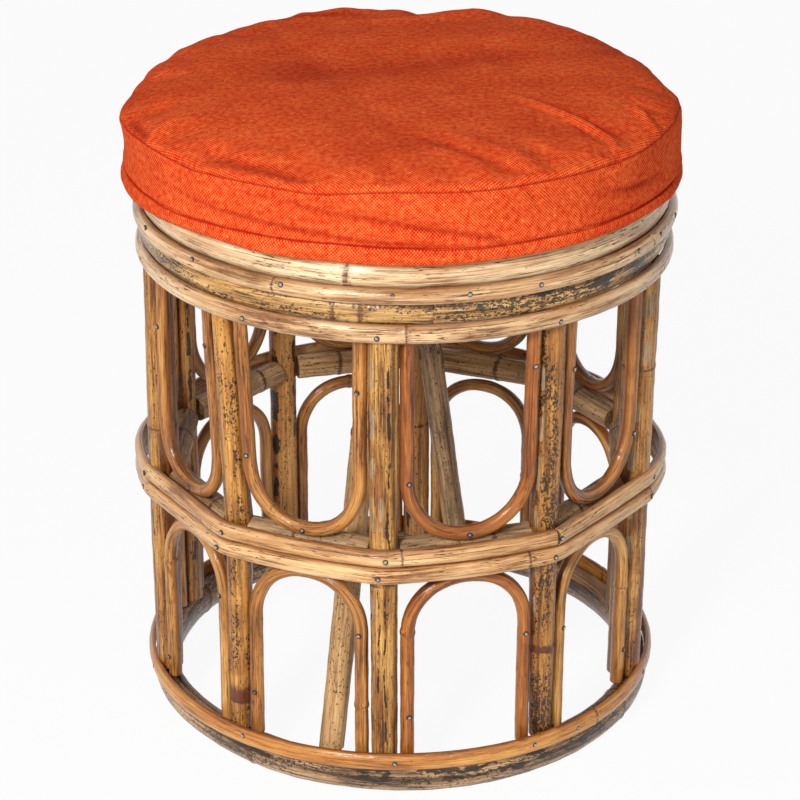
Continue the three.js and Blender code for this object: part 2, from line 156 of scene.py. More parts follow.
def tube_faces(rows, columns):
    """Faces of a grid that closes round its columns, as quads and triangles: a quad between each
    row and the next, and fans that close the first and the last row to two points after the grid."""
    row, column = np.meshgrid(np.arange(rows - 1), np.arange(columns), indexing="ij")
    after = (column + 1) % columns
    quads = np.stack([row * columns + column, row * columns + after,
                      (row + 1) * columns + after, (row + 1) * columns + column], axis=-1)
    edge = np.arange(columns)
    following = (edge + 1) % columns
    last = (rows - 1) * columns
    first_fan = np.stack([np.full(columns, rows * columns), following, edge], axis=-1)
    last_fan = np.stack([np.full(columns, rows * columns + 1), last + edge, last + following], axis=-1)
    return quads.reshape(-1, 4), np.concatenate([first_fan, last_fan])


def smooth_mesh(name, points, parts):
    """A smooth mesh from its points and from its faces, which come in arrays of quads or triangles."""
    mesh = bpy.data.meshes.new(name)
    mesh.from_pydata(points.tolist(), [], [face for part in parts for face in part.tolist()])
    mesh.polygons.foreach_set("use_smooth", np.ones(len(mesh.polygons), bool))
    return mesh


def add_layer(mesh, key, values, tip_value=0):
    """A layer for the finish to read: a value for each point of the grid, and one for both tips."""
    full = np.append(values.ravel(), [tip_value, tip_value])
    mesh.attributes.new(key, "FLOAT", "POINT").data.foreach_set("value", full)


def add_piece(name, mesh, finish, body):
    """Puts a mesh into the scene as a piece with one finish that rides on a body."""
    mesh.materials.append(finish)
    piece = bpy.data.objects.new(name, mesh)
    bpy.context.scene.collection.objects.link(piece)
    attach(piece, body)
    return piece


def close_skin(name, grid, unbent, marks, finish):
    """A closed piece from rows of points round a pole, in place of the node of the same name. Each
    end is bevelled by SAW_BEVEL and closed by a flat sawn face. unbent holds the places of the
    same points across and along the cane before it was bent."""
    sides = grid.shape[1]

    def cap(rows, inner):
        """Rings and tip of a sawn end: the end row drawn in to its middle by CAP_SHARES, and moved
        out along the cane by SAW_BEVEL."""
        middle = rows[0].mean(axis=0)
        push = middle - rows[inner].mean(axis=0)
        push *= SAW_BEVEL / np.linalg.norm(push)
        rings = middle + (rows[0] - middle) * CAP_SHARES[:, None, None] + push
        return rings, middle + push

    first, first_tip = cap(grid, 1)
    last, last_tip = cap(grid[::-1], 1)
    points = np.concatenate([first, grid, last[::-1]])
    rows = len(points)
    points = np.concatenate([points.reshape(-1, 3), [first_tip, last_tip]])
    mesh = smooth_mesh(name, points, tube_faces(rows, sides))
    straight = np.stack(np.broadcast_arrays(*unbent), axis=-1)
    across = np.concatenate([*(straight[:1, :, :2] * share for share in CAP_SHARES), straight[..., :2],
                             *(straight[-1:, :, :2] * share for share in CAP_SHARES[::-1])])
    lengths = np.concatenate([straight[:1, :, 2:]] * 3 + [straight[:, :, 2:]] + [straight[-1:, :, 2:]] * 3)
    straight_tips = [[0, 0, lengths[0, 0, 0]], [0, 0, lengths[-1, 0, 0]]]
    straight = np.concatenate([across, lengths], axis=2).reshape(-1, 3)
    along = mesh.attributes.new("cane", "FLOAT_VECTOR", "POINT")
    along.data.foreach_set("vector", np.concatenate([straight, straight_tips]).ravel())
    cut = np.zeros((rows, sides))
    cut[:2] = 1
    cut[-2:] = 1
    add_layer(mesh, "cut", cut, 1)
    for key, values in marks.items():
        add_layer(mesh, key, np.concatenate([values[:1]] * 3 + [values] + [values[-1:]] * 3))
    piece = add_piece(name, mesh, finish, "frame")
    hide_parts(name)


def paint(red, green, blue):
    """A linear colour from its usual red, green and blue out of 255."""
    share = np.array([red, green, blue]) / 255
    linear = np.where(share <= 0.04045, share / 12.92, ((share + 0.055) / 1.055) ** 2.4)
    return (*linear.tolist(), 1.0)


def add_node(tree, kind, inputs, **settings):
    """Adds a shader node. A socket among the inputs is linked, and any other value is set."""
    made = tree.nodes.new(kind)
    for key, value in settings.items():
        setattr(made, key, value)
    for key, value in inputs.items():
        if isinstance(value, bpy.types.NodeSocket):
            tree.links.new(value, made.inputs[key])
        else:
            made.inputs[key].default_value = value
    return made


def blend_colour(tree, factor, under, over, blend="MIX"):
    """The colour under, covered by the colour over as far as factor says."""
    inputs = {0: factor, 6: under, 7: over}
    return add_node(tree, "ShaderNodeMix", inputs, data_type="RGBA", blend_type=blend).outputs[2]


def sums(tree, operation, first, second):
    """One arithmetic step on two values or sockets."""
    return add_node(tree, "ShaderNodeMath", {0: first, 1: second}, operation=operation).outputs[0]


def step_up(tree, value, low, high, top=1.0):
    """0 below low, top above high, and a smooth slope between."""
    inputs = {"Value": value, "From Min": low, "From Max": high, "To Max": top}
    return add_node(tree, "ShaderNodeMapRange", inputs, interpolation_type="SMOOTHSTEP").outputs[0]


def stretched(tree, place, stretch, shift):
    """A place on a cane, moved by shift, and with its run divided by stretch."""
    inputs = {"Vector": place, "Location": (shift, shift, shift), "Scale": (1.0, 1.0, 1.0 / stretch)}
    return add_node(tree, "ShaderNodeMapping", inputs).outputs[0]


def streaks(tree, place, width, stretch, detail=3.0, shift=0.0):
    """Noise whose spots are about as wide as width, in metres, and stretch times as long."""
    inputs = {"Vector": stretched(tree, place, stretch, shift), "Scale": 0.5 / width, "Detail": detail,
              "Roughness": 0.6}
    return add_node(tree, "ShaderNodeTexNoise", inputs).outputs[0]


def dots(tree, place, size, stretch, amount, shift=0.0):
    """Round dots about size across and stretch times as long: cells whose middles are painted, in
    a part of them that amount gives, from 0 to 1."""
    inputs = {"Vector": stretched(tree, place, stretch, shift), "Scale": 0.55 / size}
    cells = add_node(tree, "ShaderNodeTexVoronoi", inputs)
    pick = add_node(tree, "ShaderNodeSeparateColor", {"Color": cells.outputs["Color"]}).outputs[0]
    girth = sums(tree, "MULTIPLY", sums(tree, "SUBTRACT", sums(tree, "ADD", pick, amount), 1.0), 0.5)
    inside = sums(tree, "SUBTRACT", girth, cells.outputs["Distance"])
    return step_up(tree, inside, -0.06, 0.06)


def read_layer(tree, key):
    """A layer that add_layer stored on a mesh."""
    return add_node(tree, "ShaderNodeAttribute", {}, attribute_name=key).outputs["Fac"]


def new_finish(name):
    """A new material, its node tree and its shader."""
    material = bpy.data.materials.new(name)
    material.use_nodes = True
    return material, material.node_tree, material.node_tree.nodes["Principled BSDF"]


def cane_finish(name, light, middle, dark, specks=0.0, dashes=0.5, lines=0.6, contrast=1.0,
                rough=0.36, coat=0.35, ink=(38, 26, 17), node_colour=(84, 46, 24), tint=(150, 84, 40)):
    """Varnished cane: short fibres that run along it in three tones, warmer places, painted shade in its
    grooves and on its edges, broken brown dashes, round black specks, and the nodes, stains and sawn ends
    of a piece."""
    material, tree, shader = new_finish(name)
    place = add_node(tree, "ShaderNodeAttribute", {}, attribute_name="cane").outputs["Vector"]
    fine = streaks(tree, place, 0.42 * MM, 24, 4.0)
    broad = streaks(tree, place, 1.3 * MM, 32, 4.0, 3.0)
    patches = streaks(tree, place, 8 * MM, 4, 5.0, 7.0)
    tone = sums(tree, "ADD", sums(tree, "MULTIPLY", broad, 0.36), sums(tree, "MULTIPLY", patches, 0.36))
    tone = sums(tree, "ADD", tone, sums(tree, "MULTIPLY", fine, 0.28))
    ramp = add_node(tree, "ShaderNodeValToRGB", {"Fac": tone})
    spread = 0.1 / contrast
    bands = ramp.color_ramp.elements
    bands[0].position, bands[0].color = 0.5 - spread, paint(*dark)
    bands[1].position, bands[1].color = 0.5 + spread, paint(*light)
    bands.new(0.49).color = paint(*middle)
    warm = step_up(tree, streaks(tree, place, 4 * MM, 12, 4.0, 31.0), 0.5, 0.66, 0.55)
    colour = blend_colour(tree, warm, ramp.outputs["Color"], paint(*tint))
    # Painted shade in the grooves, darker the deeper they lie
    groove_shade = step_up(tree, read_layer(tree, "groove_shade"), 0.15, 0.8, 0.75)
    groove_shade = sums(tree, "MULTIPLY", groove_shade, step_up(tree, fine, 0.3, 0.55))
    colour = blend_colour(tree, groove_shade, colour, paint(*(np.array(dark) * 0.8)))
    line = step_up(tree, streaks(tree, place, 0.4 * MM, 70, 2.0, 37.0), 0.61, 0.67, lines)
    colour = blend_colour(tree, line, colour, paint(92, 50, 24))
    dash_region = step_up(tree, streaks(tree, place, 8 * MM, 4, 2.0, 13.0), 0.4, 0.58)
    dash = step_up(tree, streaks(tree, place, 0.55 * MM, 7, 4.0, 11.0), 0.6, 0.63, dashes)
    dash = sums(tree, "MULTIPLY", dash, dash_region)
    colour = blend_colour(tree, dash, colour, paint(92, 42, 20))
    dark_marks = sums(tree, "ADD", dash, line)
    bump_height = sums(tree, "ADD", sums(tree, "MULTIPLY", fine, 0.6), broad)
    bump_height = sums(tree, "SUBTRACT", bump_height, sums(tree, "MULTIPLY", dark_marks, 0.6))
    if specks > 0:
        speck_region = step_up(tree, streaks(tree, place, 6 * MM, 5, 4.0, 19.0), 0.36, 0.6)
        amount = sums(tree, "MULTIPLY", speck_region, specks)
        grains = streaks(tree, place, 0.8 * MM, 1.5, 4.0, 47.0)
        grains = sums(tree, "ADD", grains, sums(tree, "MULTIPLY", amount, 0.12))
        grains = step_up(tree, grains, 0.63, 0.68)
        small = dots(tree, place, 0.7 * MM, 1.7, amount, 17.0)
        large = dots(tree, place, 1.4 * MM, 2.2, sums(tree, "MULTIPLY", amount, 0.8), 43.0)
        speck = sums(tree, "MAXIMUM", sums(tree, "MAXIMUM", small, large), grains)
        colour = blend_colour(tree, sums(tree, "MULTIPLY", speck, 0.9), colour, paint(*ink))
        bump_height = sums(tree, "SUBTRACT", bump_height, sums(tree, "MULTIPLY", speck, 0.4))
    # Painted shade: the sides of each cane, where its surface turns away, are multiplied darker; on posts 3
    # and 10 the same layer also darkens the lower half
    edge_shade_and_darkening = sums(tree, "MULTIPLY", read_layer(tree, "edge_shade_and_darkening"), sums(tree, "ADD", fine, 0.3))
    colour = blend_colour(tree, edge_shade_and_darkening, colour, paint(160, 118, 84), "MULTIPLY")
    ragged = sums(tree, "SUBTRACT", streaks(tree, place, 0.8 * MM, 8, 5.0, 23.0), 0.5)
    blotchy = sums(tree, "SUBTRACT", streaks(tree, place, 1.8 * MM, 3, 6.0, 53.0), 0.5)

    def marked(colour, key, over, ragging, low=0.4, high=0.6, top=0.9, edge=ragged):
        """The colour, covered where a layer is marked: the layer plus noise times ragging, stepped
        up from low to high."""
        rough_mark = sums(tree, "ADD", read_layer(tree, key), sums(tree, "MULTIPLY", edge, ragging))
        return blend_colour(tree, step_up(tree, rough_mark, low, high, top), colour, over)

    fibres = step_up(tree, fine, 0.35, 0.65)
    weathered = blend_colour(tree, fibres, paint(122, 98, 70), paint(186, 158, 120))
    colour = marked(colour, "bare", weathered, 0.6, 0.35, 0.75, 0.85)
    colour = marked(colour, "burn", paint(92, 36, 19), 1.8, 0.4, 0.95, 0.9)
    colour = marked(colour, "node", paint(*node_colour), 1.4, 0.4, 0.95, 0.9)
    colour = marked(colour, "stain", paint(36, 25, 17), 2.6, 0.5, 0.62, 0.93, blotchy)
    pores = streaks(tree, place, 0.5 * MM, 1, 2.0, 29.0)
    end_grain = blend_colour(tree, step_up(tree, pores, 0.4, 0.65), paint(86, 62, 40), paint(158, 120, 78))
    colour = marked(colour, "cut", end_grain, 0.0)
    bump = add_node(tree, "ShaderNodeBump", {"Strength": 0.8, "Distance": 0.4 * MM, "Height": bump_height})
    roughness = sums(tree, "ADD", step_up(tree, patches, 0.25, 0.75, 0.2), rough - 0.06)
    tree.links.new(colour, shader.inputs["Base Color"])
    tree.links.new(roughness, shader.inputs["Roughness"])
    tree.links.new(bump.outputs["Normal"], shader.inputs["Normal"])
    tree.links.new(bump.outputs["Normal"], shader.inputs["Coat Normal"])
    shader.inputs["Coat Weight"].default_value = coat
    shader.inputs["Coat Roughness"].default_value = 0.12
    shader.inputs["Specular IOR Level"].default_value = 0.25
    return material


def ring_line(radius, joint, rows, height, seed, sway=0.5 * MM, drift=0.0):
    """Azimuths and points of a ring that runs once round from one side of its butt joint to the
    other. Its radius and height sway a little, as hand-bent cane does, and drift moves it in X."""
    slit = BUTT_SLIT / radius
    azimuth = joint + np.linspace(slit / 2, TURN - slit / 2, rows)
    reach = radius + sway * (np.sin(3 * azimuth + seed) + 0.6 * np.sin(7 * azimuth + 2 * seed)) / 2
    line = toward(azimuth) * reach[:, None]
    line[:, 0] += drift
    line[:, 2] = height + sway * np.sin(5 * azimuth + 3 * seed) / 2
    return azimuth, line


def runs_of(azimuths_deg, joint, radius):
    """The run along a ring, in metres, of each azimuth in degrees."""
    return [((np.radians(a) - joint) % TURN) * radius for a in azimuths_deg]


DARK_CANE = cane_finish("dark_cane", (226, 182, 132), (162, 124, 86), (40, 29, 19), specks=1.0, dashes=0.5,
                        contrast=1.4, rough=0.34, coat=0.3, tint=(40, 29, 20))


def bend_hoop(name, radius, height, joint, seed, finish, nodes=(), flat=0.0, stains=(),
              ring_radius=FRAME_RADIUS, width_share=1.0, drift=0.0, pulls=()):
    """A cane bent into a ring. The section is cane_radius round a circle, narrowed by width_share,
    and cut level at the ground where flat is given. stains are (azimuth, reach, angle) in degrees.
    pulls are places where the ring lies further in: (azimuth, reach in degrees, millimetres). A
    stain is a bell round the hoop times a bell across the cane."""
    azimuth, line = ring_line(ring_radius, joint, HOOP_ROWS, height, seed, drift=drift)
    for where, reach, inward in pulls:
        off = wrap(azimuth - np.radians(where))
        line -= toward(azimuth) * inward * MM * bell(off, np.radians(reach))[:, None]
    run = ((azimuth - joint) * FRAME_RADIUS)[:, None]
    angle = full_turn(HOOP_SIDES)[None]
    node_runs = runs_of(nodes, joint, FRAME_RADIUS)
    skin = cane_radius(angle, run, radius - SKIN_ALLOWANCE, seed, node_runs, depth=0.35 * MM)
    x = skin * np.cos(angle) * width_share
    y = skin * np.sin(angle)
    if flat:
        y = np.minimum(y, flat)
    grid = carry(line, toward(azimuth), x, y)
    if flat:
        grid[..., 2] = np.maximum(grid[..., 2], 0)
    stain = np.zeros(x.shape)
    for where, reach, facing in stains:
        around = bell(wrap(azimuth[:, None] - np.radians(where)), np.radians(reach))
        across = bell(wrap(angle - np.radians(facing)), HOOP_STAIN_TURN)
        stain = np.maximum(stain, HOOP_STAIN * around * across)
    marks = {"node": node_mark(run, node_runs, angle), "stain": stain, "groove_shade": groove_shade_mark(skin),
             "edge_shade_and_darkening": painted_edge_shade(angle) + 0 * x}
    close_skin(name, grid, (x, y, run + seed), marks, finish)


bend_hoop("base_hoop", BASE_POLE_RADIUS, BASE_HOOP_HEIGHT, BASE_HOOP_JOINT, seed=3, finish=DARK_CANE,
          nodes=(-36, 62, 131, -118), flat=BASE_HOOP_HEIGHT, ring_radius=BASE_HOOP_RADIUS,
          width_share=BASE_POLE_WIDTH_SHARE, pulls=((-46, 22, 4.2), (-100, 14, 1.5)),
          stains=((-6, 7, -20), (14, 12, -30), (30, 14, -10), (50, 12, -20), (100, 30, 0), (150, 20, 180)))

# Posts: ten upright canes of unlike girth, sawn square and nailed, flush on the outside. Each was
# cut from another cane, so one is speckled, the next streaked or half bare.
POST_COUNT = 10
POST_FOOT = 25.8 * MM
POST_TOP = 348.0 * MM
POST_SIDES = 80
POST_ROWS = 190
FIRST_POST_AZIMUTH = np.radians(-4)
post_thickness_shares = (1, 0.93, 1.2, 1, 1, 1.04, 1.04, 1, 1.03, 0.88)
post_drift_shares = (0.01, 0.08, 0.1, 0, -0.01, -0.01, 0, 0.05, 0.03, -0.02)
post_node_shares = (0.42, 0.21, 0.753, 0.36, 0.55, 0.3, 0.7, 0.45, 0.6, 0.068)

SPECKLED_CANE = cane_finish("speckled_cane", (232, 175, 89), (196, 134, 61), (116, 70, 30), specks=1.05,
                            dashes=0.6, lines=0.5, tint=(156, 98, 48))
SUNNY_CANE = cane_finish("sunny_cane", (212, 151, 69), (166, 109, 46), (84, 52, 23), specks=1.25,
                         dashes=0.6, lines=0.5, tint=(160, 98, 42))
STREAKED_CANE = cane_finish("streaked_cane", (222, 171, 95), (174, 120, 57), (80, 48, 22), specks=0.3,
                            dashes=1.0, lines=0.95, contrast=1.3, rough=0.42, coat=0.2, tint=(134, 72, 36))
BARKY_CANE = cane_finish("barky_cane", (214, 163, 87), (178, 120, 56), (98, 58, 26), specks=0.4,
                         dashes=0.9, lines=0.8, contrast=1.2, rough=0.38, coat=0.3, tint=(158, 90, 42))
PINKISH_CANE = cane_finish("pinkish_cane", (232, 178, 103), (204, 144, 75), (136, 87, 43), specks=0.5,
                           dashes=0.7, lines=0.5, rough=0.42, coat=0.2, tint=(180, 112, 62))
post_finishes = (STREAKED_CANE, SUNNY_CANE, BARKY_CANE, STREAKED_CANE, SPECKLED_CANE,
                 PINKISH_CANE, PINKISH_CANE, BARKY_CANE, BARKY_CANE, SPECKLED_CANE)


def stripe(angle, run, facing, width, begin, end, seed):
    """A lengthwise stripe, 1 on its line and 0 off it: facing is its angle in degrees, width is
    in metres on a post, and it begins and ends at runs along the post."""
    sway = 0.12 * waves(run, 0.09, seed)
    off = wrap(angle - np.radians(facing) - sway)
    ends = 1 / (1 + np.exp(-(run - begin) / (3 * MM))) / (1 + np.exp((run - end) / (3 * MM)))
    broken = np.clip(0.75 + 1.1 * waves(run, 0.035, seed + 3), 0, 1)
    return bell(off * POST_RADIUS, width) * ends * broken


# Stripes on single posts: (post, layer, facing, width in mm, begin and end as shares of length)
post_stripes = (
    (0, "stain", 24, 1.3, 0.34, 0.95), (0, "bare", -50, 3.6, 0.3, 1.02), (0, "bare", -8, 2.4, 0.42, 0.66),
    (0, "stain", -20, 1.0, 0.1, 0.42), (0, "stain", 8, 0.8, 0.02, 0.4), (0, "stain", -66, 1.4, 0.05, 0.5),
    (0, "burn", 10, 9.0, -0.1, 0.42), (2, "bare", -48, 4.0, 0.755, 1.02), (2, "bare", 30, 3.0, 0.76, 1.02),
    (2, "bare", -80, 3.0, 0.1, 0.7), (8, "stain", 20, 1.2, 0.2, 0.62), (8, "stain", -30, 0.9, 0.0, 0.3),
    # The edge-shade layer, laid here over the lower halves of posts 10 and 3 all round to darken them
    (9, "edge_shade_and_darkening", 0, 30.0, -0.1, 0.5), (2, "edge_shade_and_darkening", 0, 30.0, -0.1, 0.5), (8, "burn", -30, 5.0, 0.28, 0.5),
    (9, "bare", -62, 2.5, 0.1, 0.9), (1, "bare", -70, 2.0, 0.3, 0.9), (5, "stain", 200, 2.0, 0.5, 1.02),
    (5, "stain", 150, 2.0, 0.0, 0.5), (6, "stain", 196, 3.6, 0.8, 1.02), (6, "stain", 110, 4.2, 0.1, 0.84),
    (6, "stain", 212, 3.0, 0.3, 0.56), (7, "stain", 150, 2.0, 0.1, 0.9), (3, "stain", 170, 1.6, 0.1, 0.8),
    (4, "bare", 10, 4.0, 0.2, 0.8),
)
stripe_weights = {"stain": 1.0, "bare": 1.0, "burn": 0.5, "edge_shade_and_darkening": 0.55}
# How far single posts lean along X, in mm, at the foot, at half height and at the top, and their
# girth there as shares of their own
post_leans = {0: (0.3, 0, 0.2), 1: (-1.6, -0.8, 2.2), 2: (1.8, 3.4, 6), 3: (0, 0, 2), 4: (0, 0, 2),
              5: (0, 0, 1.5), 6: (0, 0, 1), 8: (-2.2, -2.8, -1.2), 9: (2.2, 2.4, -4)}
post_girths = {0: (0.9, 0.97, 1.06), 1: (0.86, 1.08, 0.96), 8: (0.94, 1.1, 1), 9: (0.86, 1.14, 0.86)}
# How far the scorched posts are burnt past their node, and how far a faint trace runs on the others
scorch_lengths = {1: 9 * MM, 9: 21 * MM}
SCORCH_TRACE = 17 * MM
SCORCH_STRENGTH = 1.6
TRACE_STRENGTH = 0.35


def by_height(table, index, height, usual):
    """A post's value at a height, from a table row of values at its foot, middle and top."""
    row = table.get(index % POST_COUNT, usual)
    return np.interp(height, (POST_FOOT, (POST_FOOT + POST_TOP) / 2, POST_TOP), row)


def lean(index, height):
    """How far a post, and what is nailed to it, leans along X at a height."""
    return by_height(post_leans, index, height, (0, 0, 0)) * MM


def post_centre(index):
    """Azimuth, radius and axis of a post, all flush on the outside whatever their girth."""
    radius = POST_RADIUS * post_thickness_shares[index]
    azimuth = FIRST_POST_AZIMUTH + (index + post_drift_shares[index]) * TURN / POST_COUNT
    return azimuth, radius, toward(np.array(azimuth)) * (POST_OUTSIDE - radius)


def burn_mark(index, past_node):
    """How far a post is scorched past its node: the mark fades away evenly over its length."""
    strength = SCORCH_STRENGTH if index in scorch_lengths else TRACE_STRENGTH
    length = scorch_lengths.get(index, SCORCH_TRACE)
    return strength * np.where(past_node > 0, np.clip(1 - past_node / length, 0, 1), 0)


for index in range(POST_COUNT):
    azimuth, radius, axis = post_centre(index)
    length = POST_TOP - POST_FOOT
    run = np.linspace(SAW_BEVEL, length - SAW_BEVEL, POST_ROWS)[:, None]
    angle = full_turn(POST_SIDES)[None]
    nodes = [post_node_shares[index] * length]
    taper = by_height(post_girths, index, POST_FOOT + run, (1, 1, 1))
    skin = cane_radius(angle, run, radius - 0.45 * MM, 40 + index, nodes, grooves=12, depth=0.45 * MM,
                       rise=0.45 * MM) * taper
    x = skin * np.cos(angle)
    y = skin * np.sin(angle)
    line = axis + np.concatenate([np.zeros((POST_ROWS, 2)), POST_FOOT + run], axis=1)
    line += toward(np.array(azimuth)) * radius * (1 - taper)
    line[:, 0] += lean(index, POST_FOOT + run[:, 0])
    grid = carry(line, np.broadcast_to(toward(np.array(azimuth)), line.shape), x, y)
    layers = {"node": node_mark(run, nodes, angle, 1.6 * MM), "stain": 0 * x, "bare": 0 * x,
              "groove_shade": groove_shade_mark(skin), "edge_shade_and_darkening": painted_edge_shade(angle) + 0 * x,
              "burn": burn_mark(index, run - nodes[0]) + 0 * x}
    for order, (post, layer, facing, width, begin, end) in enumerate(post_stripes):
        if post == index:
            mark = stripe(angle, run, facing, width * MM, begin * length, end * length, order)
            layers[layer] = np.maximum(layers[layer], mark * stripe_weights[layer])
    close_skin(f"post_{index + 1:02d}", grid, (x, y, run + 2 + index), layers, post_finishes[index])

# Split bands: half-round strips split from thicker canes, bent round the outside and nailed. They
# are the base band, the two mid bands, the eave band and the rim band.
BAND_SIDES = 60
BAND_ROWS = 560
BASE_BAND_HEIGHT = 26.6 * MM
STRAW_CANE = cane_finish("straw_cane", (252, 230, 192), (230, 194, 148), (150, 104, 64), dashes=1.0,
                         lines=0.8, contrast=1.1, rough=0.3, coat=0.55, tint=(196, 142, 92))
WHEAT_CANE = cane_finish("wheat_cane", (248, 216, 170), (216, 172, 120), (132, 86, 50), dashes=1.0,
                         lines=0.8, contrast=1.1, rough=0.3, coat=0.5, tint=(184, 124, 72))
HONEY_CANE = cane_finish("honey_cane", (240, 198, 142), (212, 158, 100), (132, 82, 44), dashes=1.0,
                         lines=0.8, contrast=1.1, rough=0.32, coat=0.45, tint=(176, 112, 58))
AMBER_CANE = cane_finish("amber_cane", (236, 175, 92), (206, 136, 62), (124, 70, 30), dashes=0.5,
                         lines=0.7, rough=0.3, coat=0.35, tint=(172, 96, 42))


def band_section(sides, width, thickness):
    """Outward and sideways places of a half-round strip: a flat inner face, and an outer face
    that is a flattened half ellipse."""
    turn = np.linspace(-np.pi / 2, np.pi / 2, sides * 3 // 4)
    dome_x = thickness * np.abs(np.cos(turn)) ** 0.8
    dome_y = width / 2 * np.sin(turn)
    back = np.linspace(width / 2, -width / 2, sides - len(turn) + 2)[1:-1]
    return np.concatenate([dome_x, 0 * back])[None], np.concatenate([dome_y, back])[None]


def lay_band(name, azimuth, line, outward, width, thickness, seed, finish, slot, nodes, ridges, groove):
    """A split strip carried along a line. Its outer face has grooves between its ridges, bells
    across it that drift as they run, and at each node a ridge beside a notch."""
    steps = np.linalg.norm(np.diff(line, axis=0), axis=1)
    run = np.concatenate([[0], np.cumsum(steps)])[:, None]
    x, y = band_section(BAND_SIDES, width - 0.2 * MM, thickness)
    rng = np.random.default_rng(seed)
    swell = 1 + 0.05 * waves(run, 0.16, seed)
    node_runs = []
    for node in nodes:
        nearest = np.argmin(np.abs(wrap(azimuth - np.radians(node))))
        node_runs.append(float(run[nearest, 0]))
    x = x * swell
    y = y + 0 * run
    facing = np.where(x > 0.25 * thickness, 1.0, 0.0)
    for ridge in range(ridges):
        place = width * ((ridge + 1) / (ridges + 1) - 0.5) + width * 0.07 * waves(run, 0.2, seed + ridge)
        wide = rng.uniform(0.7, 1.2) * MM
        fade = 0.6 + 0.4 * waves(run, 0.12, seed + 9 + ridge)
        x = x - facing * groove * fade * bell(y - place, wide)
    x = x + facing * 0.1 * MM * waves(run, 0.02, seed + 5)
    for node in node_runs:
        off = run - node - 0.5 * MM * np.sin(y / width * 9)
        x = x + facing * (0.5 * MM * bell(off, 1.8 * MM) - 0.5 * MM * bell(off - 3 * MM, 1.1 * MM))
    grid = carry(line, outward, x, y)
    # How far the outer face lies below its dome: the painted shade in the grooves follows it
    dome = thickness * swell * np.sqrt(np.maximum(1 - (2 * y / width) ** 2, 0.04))
    hollow = np.clip(1 - x / dome, 0, 1)
    # Painted shade on the two edges of the strip, where its dome turns away
    marks = {"node": node_mark(run, node_runs, y / width * 9 / 2, 1.4 * MM), "groove_shade": hollow * facing,
             "edge_shade_and_darkening": np.clip((np.abs(2 * y / width) - 0.72) / 0.28, 0, 1) ** 1.5 + 0 * x}
    close_skin(name, grid, (x + thickness, y, run + seed), marks, finish)


def round_band(name, width, thickness, inner_radius, height, joint_deg, seed, finish, slot,
               drift=0.0, **look):
    """A split strip bent round a circle, just clear of what it is nailed to."""
    joint = np.radians(joint_deg)
    azimuth, line = ring_line(inner_radius + 0.4 * MM, joint, BAND_ROWS, height, seed, 0.25 * MM, drift)
    lay_band(name, azimuth, line, toward(azimuth), width, thickness, seed, finish, slot, **look)


round_band("base_band", 13 * MM, 4.6 * MM, POST_OUTSIDE, BASE_BAND_HEIGHT, joint_deg=36.5, seed=11,
           finish=AMBER_CANE, slot="cane_golden", nodes=(48, -150, 120), ridges=1, groove=0.25 * MM)

# Bays: between each two posts a thin cane is bent into a U loop above the mid bands, and another
# into an arch below them. Both are steamed, bent round a former and nailed to the posts.
CANE_RADIUS = 5 * MM
SIT_GAP = 0.3 * MM
MID_HEIGHT = 176.95 * MM
LOOP_LOW_EDGE = MID_HEIGHT + 10.2 * MM
ARCH_HIGH_EDGE = MID_HEIGHT - 12.05 * MM
LOOP_BEND_HEIGHT = 50 * MM
ARCH_BEND_HEIGHT = 46 * MM
BEND_POWER = 0.94
CANE_SIDES = 28
CANE_ROWS = 190
RUSSET_CANE = cane_finish("russet_cane", (202, 130, 56), (156, 86, 30), (80, 38, 12), dashes=0.8,
                          lines=0.8, rough=0.3, coat=0.4, tint=(134, 66, 30), node_colour=(110, 58, 28))
TOFFEE_CANE = cane_finish("toffee_cane", (216, 155, 80), (172, 109, 48), (90, 50, 20), dashes=0.9,
                          lines=0.8, contrast=1.1, rough=0.3, coat=0.35, tint=(158, 94, 46),
                          node_colour=(120, 72, 36))
GILT_CANE = cane_finish("gilt_cane", (230, 175, 97), (192, 132, 64), (106, 62, 26), dashes=0.7,
                        lines=0.7, contrast=1.1, rough=0.3, coat=0.35, tint=(176, 106, 50),
                        node_colour=(130, 80, 40))
loop_finishes = (RUSSET_CANE, TOFFEE_CANE, GILT_CANE, TOFFEE_CANE, GILT_CANE,
                 TOFFEE_CANE, GILT_CANE, TOFFEE_CANE, TOFFEE_CANE, TOFFEE_CANE)
arch_finishes = (RUSSET_CANE, GILT_CANE, RUSSET_CANE, TOFFEE_CANE, GILT_CANE,
                 TOFFEE_CANE, GILT_CANE, TOFFEE_CANE, GILT_CANE, TOFFEE_CANE)
loop_node_shares = (0.9, 0.6, 0.3, 0.5, 0.7, 0.2, 0.8, 0.4, 0.55, 0.42)
arch_node_shares = (0.3, 0.75, 0.4, 0.6, 0.2, 0.5, 0.8, 0.35, 0.3, 0.88)


def bay_between(index):
    """The space between a post and the next one: their places, the level direction from one to
    the other, the direction square to it towards the outside, and the span."""
    from_azimuth, from_radius, start = post_centre(index)
    to_azimuth, to_radius, stop = post_centre((index + 1) % POST_COUNT)
    span = np.linalg.norm(stop - start)
    along = (stop - start) / span
    outward = np.array([along[1], -along[0], 0])
    turn = (to_azimuth - from_azimuth) % TURN
    return {"start": start, "radii": (from_radius, to_radius), "along": along, "outward": outward,
            "span": span, "turn": turn, "outset": min(from_radius, to_radius) - CANE_RADIUS}


bays = [bay_between(index) for index in range(POST_COUNT)]


